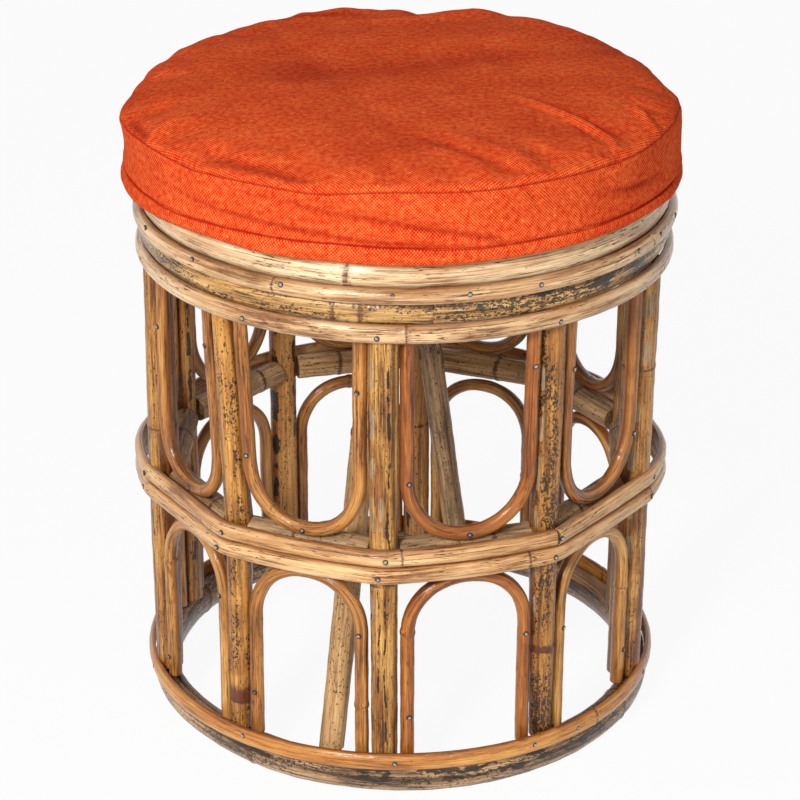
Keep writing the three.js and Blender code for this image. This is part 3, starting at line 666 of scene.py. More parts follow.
def bent_line(half_span, leg_end, bend_base, bend_rise, rows):
    """The run along a bent cane, evenly spaced, and its sideways and upward places: a straight leg,
    half a super ellipse of power BEND_POWER, slightly full at its corners, and the other leg."""
    turn = np.linspace(0, np.pi, 200)
    across = -half_span * np.sign(np.cos(turn)) * np.abs(np.cos(turn)) ** BEND_POWER
    up = bend_base + bend_rise * np.sin(turn) ** BEND_POWER
    across = np.concatenate([[-half_span], across, [half_span]])
    up = np.concatenate([[leg_end], up, [leg_end]])
    reach = np.concatenate([[0], np.cumsum(np.hypot(np.diff(across), np.diff(up)))])
    even = np.linspace(0, reach[-1], rows)
    return even, np.interp(even, reach, across), np.interp(even, reach, up)


def leg_places(bay):
    """Where the two legs stand along a bay, SIT_GAP from the posts and flush with their outside."""
    reach = [np.sqrt((radius + SIT_GAP + CANE_RADIUS) ** 2 - bay["outset"] ** 2) for radius in bay["radii"]]
    return reach[0], bay["span"] - reach[1]


def bend_cane(name, bay, index, leg_end, bend_base, bend_rise, seed, finish, node_share):
    """A thin cane bent in the upright plane of a bay. Each leg leans as its post does, and the
    bend between them takes a share of both leans."""
    first, last = leg_places(bay)
    run, across, up = bent_line((last - first) / 2, leg_end, bend_base, bend_rise, CANE_ROWS)
    right = np.clip(0.5 + across / (last - first), 0, 1)
    across = across + 0.35 * MM * waves(run, 0.13, seed)
    middle = bay["start"] + bay["along"] * (first + last) / 2 + bay["outward"] * bay["outset"]
    line = middle + across[:, None] * bay["along"] + up[:, None] * np.array([0, 0, 1])
    line[:, 0] += lean(index, up) * (1 - right) + lean(index + 1, up) * right
    run = run[:, None]
    angle = full_turn(CANE_SIDES)[None]
    nodes = [node_share * run[-1, 0]]
    skin = cane_radius(angle, run, CANE_RADIUS - 0.1 * MM, seed, nodes, grooves=6, depth=0.35 * MM,
                       rise=0.5 * MM)
    x = skin * np.cos(angle)
    y = skin * np.sin(angle)
    grid = carry(line, np.broadcast_to(bay["outward"], line.shape), x, y)
    marks = {"node": node_mark(run, nodes, angle, 1.1 * MM), "groove_shade": groove_shade_mark(skin),
             "edge_shade_and_darkening": painted_edge_shade(angle) + 0 * x}
    close_skin(name, grid, (x, y, run + seed), marks, finish)


for index, bay in enumerate(bays):
    bend_cane(f"upper_loop_{index + 1:02d}", bay, index, POST_TOP - SAW_BEVEL,
              LOOP_LOW_EDGE + LOOP_BEND_HEIGHT, CANE_RADIUS - LOOP_BEND_HEIGHT, 60 + index,
              loop_finishes[index], loop_node_shares[index])
    bend_cane(f"lower_arch_{index + 1:02d}", bay, index, POST_FOOT + SAW_BEVEL,
              ARCH_HIGH_EDGE - ARCH_BEND_HEIGHT, ARCH_BEND_HEIGHT - CANE_RADIUS, 80 + index,
              arch_finishes[index], arch_node_shares[index])

# Rails: ten short thick canes wedged between the posts, dull grey-brown and unvarnished, sawn
# square at both ends. Each lies behind the bottom of its U loop and is nailed to it.
RAIL_RADIUS = 9.5 * MM
RAIL_HEIGHT = MID_HEIGHT + 3 * MM
RAIL_SIDES = 44
RAIL_ROWS = 56
pale_rails = (4, 5)
rail_node_shares = (0.7, 0.35, 0.8, 0.5, 0.3, 0.62, 0.25, 0.45, 0.75, 0.4)
DULL_CANE = cane_finish("dull_cane", (216, 176, 130), (170, 134, 94), (94, 68, 46), specks=0.45,
                        dashes=0.8, lines=0.4, rough=0.45, coat=0.15, tint=(120, 92, 64))
PALE_CANE = cane_finish("pale_cane", (226, 184, 130), (194, 150, 98), (120, 82, 46), specks=0.35,
                        dashes=0.8, lines=0.4, rough=0.42, coat=0.2, tint=(166, 120, 74))

for index, bay in enumerate(bays):
    begin = bay["radii"][0] + SIT_GAP
    end = bay["span"] - bay["radii"][1] - SIT_GAP
    apart = RAIL_RADIUS + CANE_RADIUS + SIT_GAP
    rise = LOOP_LOW_EDGE + CANE_RADIUS - RAIL_HEIGHT
    set_back = np.sqrt(apart**2 - rise**2) - bay["outset"]
    run = np.linspace(SAW_BEVEL, end - begin - SAW_BEVEL, RAIL_ROWS)[:, None]
    angle = full_turn(RAIL_SIDES)[None]
    nodes = [rail_node_shares[index] * (end - begin)]
    skin = cane_radius(angle, run, RAIL_RADIUS - SKIN_ALLOWANCE, 100 + index, nodes, grooves=7,
                       depth=0.4 * MM, rise=0.4 * MM)
    x = skin * np.cos(angle)
    y = skin * np.sin(angle)
    line = bay["start"] - bay["outward"] * set_back + (begin + run) * bay["along"]
    line[:, 2] = RAIL_HEIGHT
    grid = carry(line, np.broadcast_to(bay["outward"], line.shape), x, y)
    marks = {"node": node_mark(run, nodes, angle), "groove_shade": groove_shade_mark(skin)}
    finish = PALE_CANE if index in pale_rails else DULL_CANE
    close_skin(f"mid_rail_{index + 1:02d}", grid, (x, y, run + 5 + index), marks, finish)

# Mid bands: two grooved split canes, one on the other, drawn round the outside of the posts. They
# run nearly straight from post to post, and their butt joints lie on two of the right posts.
MID_BAND_WIDTH = 12.6 * MM
MID_BAND_THICKNESS = 6.2 * MM
MID_BAND_SHIFT = (MID_BAND_WIDTH + SIT_GAP) / 2
UPPER_MID_BAND_POST = 1
LOWER_MID_BAND_POST = 2
MID_BAND_EASING = 10
band_bow_shares = (0.45, 0.1, 1.5, 1, 1, 1, 1, 1.4, 0, 0.45)


def band_corner(index):
    """Where the inner face of a mid band turns round a post, clear of it on both sides."""
    azimuth, radius, axis = post_centre(index)
    half = max(bays[index]["turn"], bays[index - 1]["turn"]) / 2
    reach = np.linalg.norm(axis) + (radius + SIT_GAP) / np.cos(half)
    return toward(np.array(azimuth)) * reach


def mid_band_line(start_post, rows, height):
    """Points of a mid band from its butt joint round to the same joint: straight runs from corner
    to corner, each bowed outwards by a sine, then eased over a few rows so that it bends."""
    corners = np.stack([band_corner(index) for index in range(POST_COUNT)])
    slit = BUTT_SLIT / bays[start_post]["span"]
    place = np.linspace(slit / 2, POST_COUNT - slit / 2, rows)
    whole = np.minimum(place.astype(int), POST_COUNT - 1)
    index = (start_post + whole) % POST_COUNT
    share = (place - whole)[:, None]
    turns = np.array([bay["turn"] for bay in bays])
    outwards = np.stack([bay["outward"] for bay in bays])
    bow = POST_OUTSIDE * (1 - np.cos(turns / 2)) * np.array(band_bow_shares)
    line = corners[index] * (1 - share) + corners[(index + 1) % POST_COUNT] * share
    line = line + outwards[index] * bow[index][:, None] * np.sin(np.pi * share)
    for _ in range(MID_BAND_EASING):
        line[1:-1] = (line[:-2] + 2 * line[1:-1] + line[2:]) / 4
    line[:, 2] = height
    return line


def drawn_band(name, start_post, height, seed, ridges, nodes):
    """A mid band laid along its line, facing outwards all round."""
    line = mid_band_line(start_post, BAND_ROWS, height)
    azimuth = np.arctan2(line[:, 0], -line[:, 1])
    tangent = np.gradient(line, axis=0)
    outward = np.stack([tangent[:, 1], -tangent[:, 0], 0 * azimuth], axis=-1)
    outward /= np.linalg.norm(outward, axis=1, keepdims=True)
    lay_band(name, azimuth, line, outward, MID_BAND_WIDTH, MID_BAND_THICKNESS, seed, HONEY_CANE,
             "cane_golden", nodes, ridges, groove=0.55 * MM)


drawn_band("mid_band_lower", LOWER_MID_BAND_POST, MID_HEIGHT - MID_BAND_SHIFT, seed=21, ridges=2,
           nodes=(28.6, -160, 130))
drawn_band("mid_band_upper", UPPER_MID_BAND_POST, MID_HEIGHT + MID_BAND_SHIFT, seed=23, ridges=1,
           nodes=(0.4, -110, 160))

# Eave band: a pale split cane with two soft ridges, nailed round the tops of the posts.
RIM_DRIFT = 3.4 * MM
RIM_SPREAD = 1.2 * MM
EAVE_HEIGHT = POST_TOP - 2.6 * MM
round_band("eave_band", 13.4 * MM, 5.2 * MM, POST_OUTSIDE + 0.4 * MM, EAVE_HEIGHT, joint_deg=158,
           seed=31, finish=WHEAT_CANE, slot="cane_pale", drift=RIM_DRIFT, nodes=(0, 96, -120), ridges=1,
           groove=0.5 * MM)

# Rim: two thick canes bent into hoops and laid one on the other, the lower one mottled black and
# yellow and the upper one pale, with a split band nailed over the line between them.
RIM_POLE_RADIUS = 11.7 * MM
LOW_RIM_HEIGHT = 360 * MM
HIGH_RIM_HEIGHT = 383.7 * MM
RIM_BAND_HEIGHT = 371.85 * MM
RIM_BAND_SEAT = FRAME_RADIUS + RIM_SPREAD + 9.9 * MM
MOTTLED_CANE = cane_finish("mottled_cane", (236, 192, 124), (186, 136, 74), (68, 46, 26), specks=1.15,
                           dashes=0.8, lines=0.7, contrast=1.3, rough=0.3, coat=0.4, tint=(122, 82, 42))
bend_hoop("rim_hoop_lower", RIM_POLE_RADIUS + 0.6 * MM, LOW_RIM_HEIGHT, joint=np.radians(5.6), seed=5,
          finish=MOTTLED_CANE, nodes=(-14.8, -9.2, 28.6, 120, -100), drift=RIM_DRIFT,
          ring_radius=FRAME_RADIUS + RIM_SPREAD,
          stains=((30, 9, -40), (44, 9, -10), (58, 6, 20), (12, 5, -50), (-56, 5, -50), (-30, 3, 60),
                  (170, 12, 0)))
round_band("rim_band", 11.4 * MM, 6.4 * MM, RIM_BAND_SEAT, RIM_BAND_HEIGHT, joint_deg=62, seed=33,
           finish=WHEAT_CANE, slot="cane_pale", drift=RIM_DRIFT, nodes=(-26.8, 142, -128), ridges=1,
           groove=0.4 * MM)
bend_hoop("rim_hoop_upper", RIM_POLE_RADIUS, HIGH_RIM_HEIGHT, joint=np.radians(200), seed=8,
          finish=STRAW_CANE, nodes=(-11.9, 98, -92), drift=RIM_DRIFT,
          ring_radius=FRAME_RADIUS + RIM_SPREAD)

# Seat deck: two braces stand on the base hoop and lean in under two bearers, and six split bamboo
# laths on the bearers close the seat. All are dull, and their ends are trimmed to the rim.
DECK_RADIUS = 159.1 * MM
BRACE_RADIUS = 9.25 * MM
BEARER_RADIUS = 9 * MM
BEARER_NODES = (50 * MM,)
BRACE_FOOT_RADIUS = 167.5 * MM
LATH_COUNT = 6
LATH_SPACING = 6 * MM
LATH_THICKNESS = 7 * MM
LATH_SIDES = 48
SEAT_HEIGHT = 395.4 * MM
BAMBOO = cane_finish("bamboo", (206, 178, 122), (176, 146, 92), (120, 92, 54), dashes=0.3,
                     rough=0.5, coat=0.1, tint=(160, 126, 76))

# Each brace: its side, the sign of Y there, the azimuth of its foot and the X of its top in mm
for side, sign, foot_azimuth, top_x in (("front", -1, -16.5, -10), ("back", 1, 164.5, 3.5)):
    bearer_low, bearer_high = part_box(f"seat_bearer_{side}")
    bearer_y = (bearer_low.y + bearer_high.y) / 2
    bearer_z = (bearer_low.z + bearer_high.z) / 2
    angle = full_turn(RAIL_SIDES)[None]
    share = np.linspace(-1, 1, 120)[:, None]
    skin = cane_radius(angle, share * DECK_RADIUS, BEARER_RADIUS - SKIN_ALLOWANCE, 120 + sign,
                       BEARER_NODES, grooves=6, depth=0.3 * MM)
    y = bearer_y + skin * np.cos(angle)
    x = share * (np.sqrt(DECK_RADIUS**2 - y**2) - SAW_BEVEL)
    z = bearer_z + skin * np.sin(angle)
    grid = np.stack([x, y, z], axis=-1)
    unbent = (y - bearer_y, z - bearer_z, x + 3 + sign)
    marks = {"node": node_mark(share * DECK_RADIUS, BEARER_NODES, angle), "groove_shade": groove_shade_mark(skin)}
    close_skin(f"seat_bearer_{side}", grid, unbent, marks, DULL_CANE)

    foot = toward(np.radians(foot_azimuth)) * BRACE_FOOT_RADIUS
    foot[2] = POST_FOOT
    top = np.array([top_x * MM, bearer_y, bearer_low.z - SIT_GAP])
    share = np.linspace(0, 1, 170)[:, None]
    run = share * np.linalg.norm(top - foot)
    nodes = [0.62 * run[-1, 0]]
    skin = cane_radius(angle, run, BRACE_RADIUS - SKIN_ALLOWANCE, 130 + sign, nodes, grooves=6,
                       depth=0.35 * MM)
    x = skin * np.cos(angle)
    y = skin * np.sin(angle)
    line = foot + share * (top - foot)
    line[:, 2] = np.linspace(foot[2] + SAW_BEVEL, top[2] - SAW_BEVEL, len(line))
    grid = line[:, None] + np.stack([x, y, 0 * x], axis=-1)
    stain = bell(run - nodes[0] + 30 * MM, 24 * MM) * (0.6 + 0.3 * np.cos(angle * 2))
    stain = stain * (0.8 if side == "back" else 0.2)
    marks = {"node": node_mark(run, nodes, angle), "stain": stain, "groove_shade": groove_shade_mark(skin)}
    finish = PALE_CANE if side == "front" else DULL_CANE
    close_skin(f"brace_{side}", grid, (x, y, run + 7 + sign), marks, finish)

LATH_PITCH = DECK_RADIUS * 2 / LATH_COUNT
for index in range(LATH_COUNT):
    half_width = (LATH_PITCH - LATH_SPACING) / 2
    middle = (index + 0.5) * LATH_PITCH - DECK_RADIUS
    turn = full_turn(LATH_SIDES)[None]
    across = np.sign(np.cos(turn)) * np.abs(np.cos(turn)) ** 0.35 * (half_width - 0.2 * MM)
    arched = 1 - 0.25 * (across / half_width) ** 2
    up = np.sign(np.sin(turn)) * np.abs(np.sin(turn)) ** 0.5 * LATH_THICKNESS / 2 * arched
    share = np.linspace(-1, 1, 100)[:, None]
    x = middle + across + 0 * share
    y = -share * (np.sqrt(np.maximum(DECK_RADIUS**2 - x**2, 0)) - SAW_BEVEL)
    ripple = 0.3 * MM * waves(y, 0.06, 150 + index)
    z = SEAT_HEIGHT - LATH_THICKNESS / 2 + up - np.abs(ripple) * (up > 0)
    grid = np.stack([x, y, z], axis=-1)
    unbent = (x - middle, z - SEAT_HEIGHT, y + 9 + index)
    marks = {"node": node_mark(y, (0.04 * (index % 3) - 0.05,), 0 * x)}
    close_skin(f"seat_lath_{index + 1:02d}", grid, unbent, marks, BAMBOO)

# Nails: small round steel heads, driven through the bands into the posts and hoops, and through
# the loops and arches into the posts. Each head is a low dome, rusty at its edge.
NAIL_RADIUS = 1.9 * MM
NAIL_DOME = 0.7 * MM
NAIL_SIDES = 14


def steel_finish():
    """Dull steel with rust in blotches and in a ring round the edge."""
    material, tree, shader = new_finish("nail_steel")
    place = add_node(tree, "ShaderNodeTexCoord", {}).outputs["Object"]
    inputs = {"Vector": place, "Scale": 420.0, "Detail": 2.0}
    field = add_node(tree, "ShaderNodeTexNoise", inputs).outputs[0]
    rim = sums(tree, "MULTIPLY", read_layer(tree, "rim"), 0.4)
    rust = step_up(tree, sums(tree, "ADD", field, rim), 0.5, 0.66)
    colour = blend_colour(tree, rust, paint(184, 178, 170), paint(46, 30, 22))
    tree.links.new(colour, shader.inputs["Base Color"])
    tree.links.new(sums(tree, "SUBTRACT", 1.0, rust), shader.inputs["Metallic"])
    shader.inputs["Roughness"].default_value = 0.35
    return material


NAIL_STEEL = steel_finish()


def drive_nails(name, spots, facings):
    """Round nail heads at the given spots: rings of a low dome about each facing direction, closed
    below by a flat disc that sits in the cane."""
    spots = np.array(spots)
    facings = np.array(facings)
    facings = facings / np.linalg.norm(facings, axis=1, keepdims=True)
    across = np.cross(facings, [0, 0, 1.0])
    across /= np.linalg.norm(across, axis=1, keepdims=True)
    up = np.cross(facings, across)
    turn = full_turn(NAIL_SIDES)
    reach = np.array([1.0, 1.0, 0.8, 0.45]) * NAIL_RADIUS
    lift = np.array([-0.6, 0.35, 0.8, 1.0]) * NAIL_DOME
    ring = (reach[:, None, None] * (np.cos(turn)[None, :, None] * across[:, None, None, :]
                                    + np.sin(turn)[None, :, None] * up[:, None, None, :])
            + lift[:, None, None] * facings[:, None, None, :]) + spots[:, None, None, :]
    ring = ring.reshape(len(spots), -1, 3)
    tips = np.stack([spots - facings * NAIL_DOME * 0.6, spots + facings * NAIL_DOME * 1.02], axis=1)
    points = np.concatenate([ring, tips], axis=1)
    quads, fans = tube_faces(len(reach), NAIL_SIDES)
    turned = (quads[:, [0, 3, 2, 1]], fans[:, [0, 2, 1]])
    parts = [faces + nail * points.shape[1] for nail in range(len(spots)) for faces in turned]
    mesh = smooth_mesh(name, points.reshape(-1, 3), parts)
    rim = np.concatenate([np.repeat([1.0, 1.0, 0.7, 0.0], NAIL_SIDES), [1.0, 0.0]])
    mesh.attributes.new("rim", "FLOAT", "POINT").data.foreach_set("value", np.tile(rim, len(spots)))
    add_piece(name, mesh, NAIL_STEEL, "frame")


def nail_ring(name, spots, radius, drift=0.0):
    """Nails in a round band, at (azimuth in degrees, height in millimetres)."""
    azimuth = np.radians([spot[0] for spot in spots])
    places = toward(azimuth) * radius
    places[:, 0] += drift
    places[:, 2] = [spot[1] * MM for spot in spots]
    drive_nails(name, places, toward(azimuth))


nail_ring("rim_nails", [(-67.8, 376), (-47.6, 375), (-25, 374.5), (-2.5, 373.5), (12.6, 373), (27.5, 373),
                        (55, 373.5), (65.5, 374), (78, 373), (100, 373), (118, 374), (140, 373),
                        (160, 374), (180, 373), (-158, 373), (-136, 374), (-114, 373), (-92, 373)],
          RIM_BAND_SEAT + 6.1 * MM, RIM_DRIFT)
nail_ring("eave_nails", [(-34.4, 344.5), (-5.6, 343.5), (32.6, 343.5), (70, 345), (104, 345), (140, 345),
                         (176, 345), (-148, 345), (-110, 345), (-75, 345)], POST_OUTSIDE + 5.6 * MM,
          RIM_DRIFT)
nail_ring("base_nails", [(-74.9, 26), (-36, 28), (-1.1, 27), (30.1, 27), (42, 27), (71.6, 27), (104, 27),
                         (140, 27), (176, 27), (-148, 27), (-110, 27)], POST_OUTSIDE + 4.6 * MM)

mid_spots = []
mid_facings = []
for index in range(POST_COUNT):
    corner = band_corner(index)
    azimuth = np.arctan2(corner[0], -corner[1])
    for height, shift in ((MID_HEIGHT + MID_BAND_SHIFT, 0.012), (MID_HEIGHT - MID_BAND_SHIFT, -0.015)):
        facing = toward(np.array(azimuth + shift))
        spot = facing * (np.linalg.norm(corner) + MID_BAND_THICKNESS - 0.6 * MM)
        spot[2] = height
        mid_spots.append(spot)
        mid_facings.append(facing)
drive_nails("mid_band_nails", mid_spots, mid_facings)

# Heights of the nails in the legs of the loops and arches, left and right, in millimetres
loop_nail_heights = ((235, 310), (300, 224), (295, 240), (300, 230), (310, 240), (290, 235),
                     (300, 225), (295, 225), (300, 312), (241, 300))
arch_nail_heights = ((58, 111), (105, 53), (60, 110), (70, 100), (60, 110), (55, 105),
                     (60, 110), (118, 60), (41, 124), (59, 120))
leg_spots = []
leg_facings = []
for index, bay in enumerate(bays):
    for heights in (loop_nail_heights[index], arch_nail_heights[index]):
        for side, (place, height) in enumerate(zip(leg_places(bay), heights)):
            spot = bay["start"] + bay["along"] * place + bay["outward"] * (CANE_RADIUS + bay["outset"])
            leg_spots.append([spot[0] + lean(index + side, height * MM), spot[1], height * MM])
            leg_facings.append(bay["outward"])
    middle = bay["start"] + bay["along"] * sum(leg_places(bay)) / 2
    spot = middle + bay["outward"] * (CANE_RADIUS + bay["outset"])
    leg_spots.append([spot[0], spot[1], LOOP_LOW_EDGE + CANE_RADIUS])
    leg_facings.append(bay["outward"])
drive_nails("leg_nails", leg_spots, leg_facings)

# Cushion pad: a round slab of foam, cut square and softened at its edges, inside the cover.
CUSHION_RADIUS = 191.5 * MM
HEM_FOOT = 394.6 * MM
CREASE_HEIGHT = 406.6 * MM
SEAM_HEIGHT = 443.1 * MM
CROWN_HEIGHT = 16 * MM
CROWN_SQUARENESS = 5
PAD_FOOT = 395.9 * MM
PAD_COLUMNS = 180
PAD_INSET = 4.5 * MM
PAD_RADIUS = CUSHION_RADIUS - PAD_INSET
PAD_EDGE = 6 * MM
FOOT_ROWS = 10


def cloth_noise(tree, place, size, detail, shift=0.0):
    """Even noise with spots of a size in metres."""
    mapped = add_node(tree, "ShaderNodeMapping", {"Vector": place, "Location": (shift, shift, 0.0)})
    inputs = {"Vector": mapped.outputs[0], "Scale": 0.5 / size, "Detail": detail}
    return add_node(tree, "ShaderNodeTexNoise", inputs).outputs[0]


def foam_finish():
    """Open-celled foam, pale yellow, pitted all over."""
    material, tree, shader = new_finish("foam")
    place = add_node(tree, "ShaderNodeTexCoord", {}).outputs["Object"]
    cells = add_node(tree, "ShaderNodeTexVoronoi", {"Vector": place, "Scale": 700.0}).outputs["Distance"]
    cloud = cloth_noise(tree, place, 20 * MM, 3.0)
    colour = blend_colour(tree, step_up(tree, cells, 0.1, 0.6), paint(196, 180, 128), paint(236, 224, 186))
    colour = blend_colour(tree, step_up(tree, cloud, 0.3, 0.8, 0.4), colour, paint(214, 190, 120))
    bump = add_node(tree, "ShaderNodeBump", {"Strength": 0.6, "Distance": 0.6 * MM, "Height": cells})
    tree.links.new(colour, shader.inputs["Base Color"])
    tree.links.new(bump.outputs["Normal"], shader.inputs["Normal"])
    shader.inputs["Roughness"].default_value = 0.95
    return material


def lathe_points(azimuths, reach, height):
    """Points of a turned form: rows from an outline of reaches and heights, columns by azimuth."""
    points = toward(azimuths)[None] * reach[..., None]
    points[..., 2] = height
    return points


def crown(share):
    """Height of the crowned top above its seam at a share of the radius."""
    return CROWN_HEIGHT * np.sqrt(1 - np.clip(share, 0, 1) ** CROWN_SQUARENESS)


# How far the cushion's edge is drawn in at its seam, by azimuth in degrees, in mm
seam_pushes = ((-180, 0), (-125, -1), (-117, -5.5), (-110, -7.5), (-101, -9), (-94, -7.5), (-87.5, -5),
               (-82, 1), (-76, 0), (82, 0), (85.5, 1), (90, -4.5), (94, -6.5), (100, -9), (106, -7),
               (112, -3.5), (118, -1), (125, 0), (180, 0))


def drop_by_azimuth(table, azimuths):
    """A smooth offset in metres for each column: a table of azimuths and millimetres, read between
    its rows and then averaged with its neighbours a few times."""
    place = (np.degrees(azimuths) + 180) % 360 - 180
    rough = np.interp(place, [row[0] for row in table], [row[1] for row in table]) * MM
    for _ in range(len(azimuths) // 27):
        rough = (np.roll(rough, 1) + 2 * rough + np.roll(rough, -1)) / 4
    return rough[None]


pad_azimuths = full_turn(PAD_COLUMNS)
side_turn = np.linspace(-np.pi / 2, 0, 8)
foot_reach = np.concatenate([np.linspace(0.02, 0.9, FOOT_ROWS) * PAD_RADIUS,
                             PAD_RADIUS - PAD_EDGE * (1 - np.cos(side_turn))])
foot_height = np.concatenate([np.full(FOOT_ROWS, PAD_FOOT), PAD_FOOT + PAD_EDGE * (1 + np.sin(side_turn))])
top_share = np.cos(np.linspace(0, np.pi / 2, 22))[:-1]
pad_reach = np.concatenate([foot_reach, PAD_RADIUS * top_share])
pad_height = np.concatenate([foot_height, SEAM_HEIGHT - PAD_INSET / 2 + crown(top_share) - PAD_INSET / 2])
pad_draw = np.interp(pad_height, (CREASE_HEIGHT, SEAM_HEIGHT), (0, 1))[:, None] ** 2
pad_draw = pad_draw * (pad_reach[:, None] / CUSHION_RADIUS) ** 6
pad_spread = pad_reach[:, None] + np.minimum(drop_by_azimuth(seam_pushes, pad_azimuths), 0) * pad_draw
pad_grid = lathe_points(pad_azimuths, pad_spread, pad_height[:, None])
pad_tips = [[0, 0, PAD_FOOT], [0, 0, SEAM_HEIGHT + CROWN_HEIGHT - PAD_INSET]]
pad_points = np.concatenate([pad_grid.reshape(-1, 3), pad_tips])
pad_mesh = smooth_mesh("cushion_pad", pad_points, tube_faces(len(pad_reach), PAD_COLUMNS))
pad = add_piece("foam_pad", pad_mesh, foam_finish(), "cushion")
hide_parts("cushion_pad")

# Cushion cover: coarse orange canvas, a round top panel sewn to a side band that ends in a hem.
# The cloth is first filled by a short cloth simulation, then gets its seams, hem and folds.
SIM_COLUMNS = 150
SIM_SIDE_ROWS = 9
SIM_TOP_ROWS = 30
SIM_STEPS = 20
SIM_CAP = 4 * MM
EVEN_SHARE = 0.85
COVER_COLUMNS = 540
HEM_ROWS = 12
SIDE_ROWS = 34
TOP_ROWS = 110
HEM_INSET = 1.6 * MM
HEM_BULGE = 2.6 * MM
HEM_WAVE = 0.5 * MM
# The right flank of the cushion bulges more than the rest
FULL_SIDE_AZIMUTH = np.radians(82)
FULL_SIDE_REACH = np.radians(14)
FULL_SIDE_BULGE = 3.6 * MM
# How deep a fold is where its painted shade is darkest, on the panel and on the side band
PANEL_SHADE_DEPTH = 2.2 * MM
SIDE_SHADE_DEPTH = 1.4 * MM
CLOTH_THICKNESS = 1.5 * MM
WEAVE_REPEAT = 2.2 * MM


def side_reach(height):
    """Radius of the side band at a height: drawn in by a sine between the crease and the seam."""
    share = np.clip((height - CREASE_HEIGHT) / (SEAM_HEIGHT - CREASE_HEIGHT), 0, 1)
    return CUSHION_RADIUS - 1.4 * MM * (1 - share) ** 2 - 1.6 * MM * np.sin(np.pi * share)


def filled_cloth():
    """How far each point of the side band and top panel moves when the cover is filled: an array
    of rows from the crease to the middle, by azimuth. Blender's cloth, pressed from inside,
    with the crease and the foot held, moves a coarse closed copy. The move is capped, and
    EVEN_SHARE of what is the same all round is taken off, since the outline has it already."""
    azimuths = full_turn(SIM_COLUMNS)
    heights = np.linspace(CREASE_HEIGHT, SEAM_HEIGHT, SIM_SIDE_ROWS)
    shares = np.linspace(1, 0.03, SIM_TOP_ROWS)
    reach = np.concatenate([[0.3 * CUSHION_RADIUS, 0.7 * CUSHION_RADIUS], side_reach(heights),
                            CUSHION_RADIUS * shares[1:]])
    height = np.concatenate([[CREASE_HEIGHT, CREASE_HEIGHT], heights, SEAM_HEIGHT + crown(shares[1:])])
    rest = lathe_points(azimuths, reach[:, None] + 0 * azimuths, height[:, None])
    rows = len(reach)
    moved = np.zeros((rows - 2, SIM_COLUMNS, 3))
    tips = [[0, 0, CREASE_HEIGHT], [0, 0, SEAM_HEIGHT + CROWN_HEIGHT]]
    points = np.concatenate([rest.reshape(-1, 3), tips])
    mesh = smooth_mesh("cover_filling", points, tube_faces(rows, SIM_COLUMNS))
    copy = bpy.data.objects.new("cover_filling", mesh)
    bpy.context.scene.collection.objects.link(copy)
    held = copy.vertex_groups.new(name="held")
    held.add(list(range(3 * SIM_COLUMNS)) + [rows * SIM_COLUMNS], 1.0, "REPLACE")
    cloth = copy.modifiers.new("cloth", "CLOTH")
    cloth.settings.quality = 6
    cloth.settings.use_pressure = True
    cloth.settings.uniform_pressure_force = 3.0
    cloth.settings.vertex_group_mass = "held"
    cloth.settings.shrink_min = -0.012
    cloth.settings.tension_stiffness = 20
    cloth.settings.compression_stiffness = 8
    cloth.settings.bending_stiffness = 0.3
    cloth.settings.effector_weights.gravity = 0
    scene = bpy.context.scene
    for step in range(1, SIM_STEPS + 1):
        scene.frame_set(step)
    shaped = copy.evaluated_get(bpy.context.evaluated_depsgraph_get()).to_mesh()
    found = np.zeros(len(shaped.vertices) * 3)
    shaped.vertices.foreach_get("co", found)
    found = found.reshape(-1, 3)[:rows * SIM_COLUMNS].reshape(rows, SIM_COLUMNS, 3)
    scene.frame_set(1)
    bpy.data.objects.remove(copy)
    moved = (found - rest)[2:]
    far = np.linalg.norm(moved, axis=-1, keepdims=True)
    moved = moved * np.tanh(far / SIM_CAP) * SIM_CAP / np.maximum(far, 1e-9)
    outward = toward(azimuths)[None]
    even_spread = (moved * outward).sum(axis=-1).mean(axis=1)[:, None, None]
    even_rise = moved[..., 2].mean(axis=1)[:, None, None]
    return moved - EVEN_SHARE * (even_spread * outward + even_rise * np.array([0, 0, 1.0]))


def finer(values, row_at, columns):
    """The same field on a finer grid, at the given places between its rows: linear along the rows
    and round the closed columns, then smoothed a little so that the coarse steps don't show."""
    low = np.minimum(row_at.astype(int), len(values) - 2)
    share = (row_at - low)[:, None, None]
    tall = values[low] * (1 - share) + values[low + 1] * share
    column_at = np.arange(columns) * values.shape[1] / columns
    left = column_at.astype(int)
    turn = (column_at - left)[None, :, None]
    wide = tall[:, left] * (1 - turn) + tall[:, (left + 1) % values.shape[1]] * turn
    for _ in range(3):
        wide = (np.roll(wide, 1, axis=1) + 2 * wide + np.roll(wide, -1, axis=1)) / 4
        wide[1:-1] = (wide[:-2] + 2 * wide[1:-1] + wide[2:]) / 4
    return wide


def near_line(x, y, line):
    """Distance of each place to a broken line, and how far along that line it lies, from 0 to 1:
    the least distance to its straight parts, of which each takes an equal share of the way."""
    best = np.full(x.shape, 1.0)
    where = np.zeros(x.shape)
    count = len(line) - 1
    for step in range(count):
        ax, ay = line[step]
        bx, by = line[step + 1]
        span = (bx - ax) ** 2 + (by - ay) ** 2
        share = np.clip(((x - ax) * (bx - ax) + (y - ay) * (by - ay)) / span, 0, 1)
        off = np.hypot(x - ax - share * (bx - ax), y - ay - share * (by - ay))
        where = np.where(off < best, (step + share) / count, where)
        best = np.minimum(best, off)
    return best, where


def fold(x, y, line, width, height):
    """A soft fold along a broken line: a bell across it that fades out at both ends."""
    off, where = near_line(x, y, line)
    return height * bell(off, width) * np.sin(np.pi * np.clip(where, 0.02, 0.98)) ** 0.6


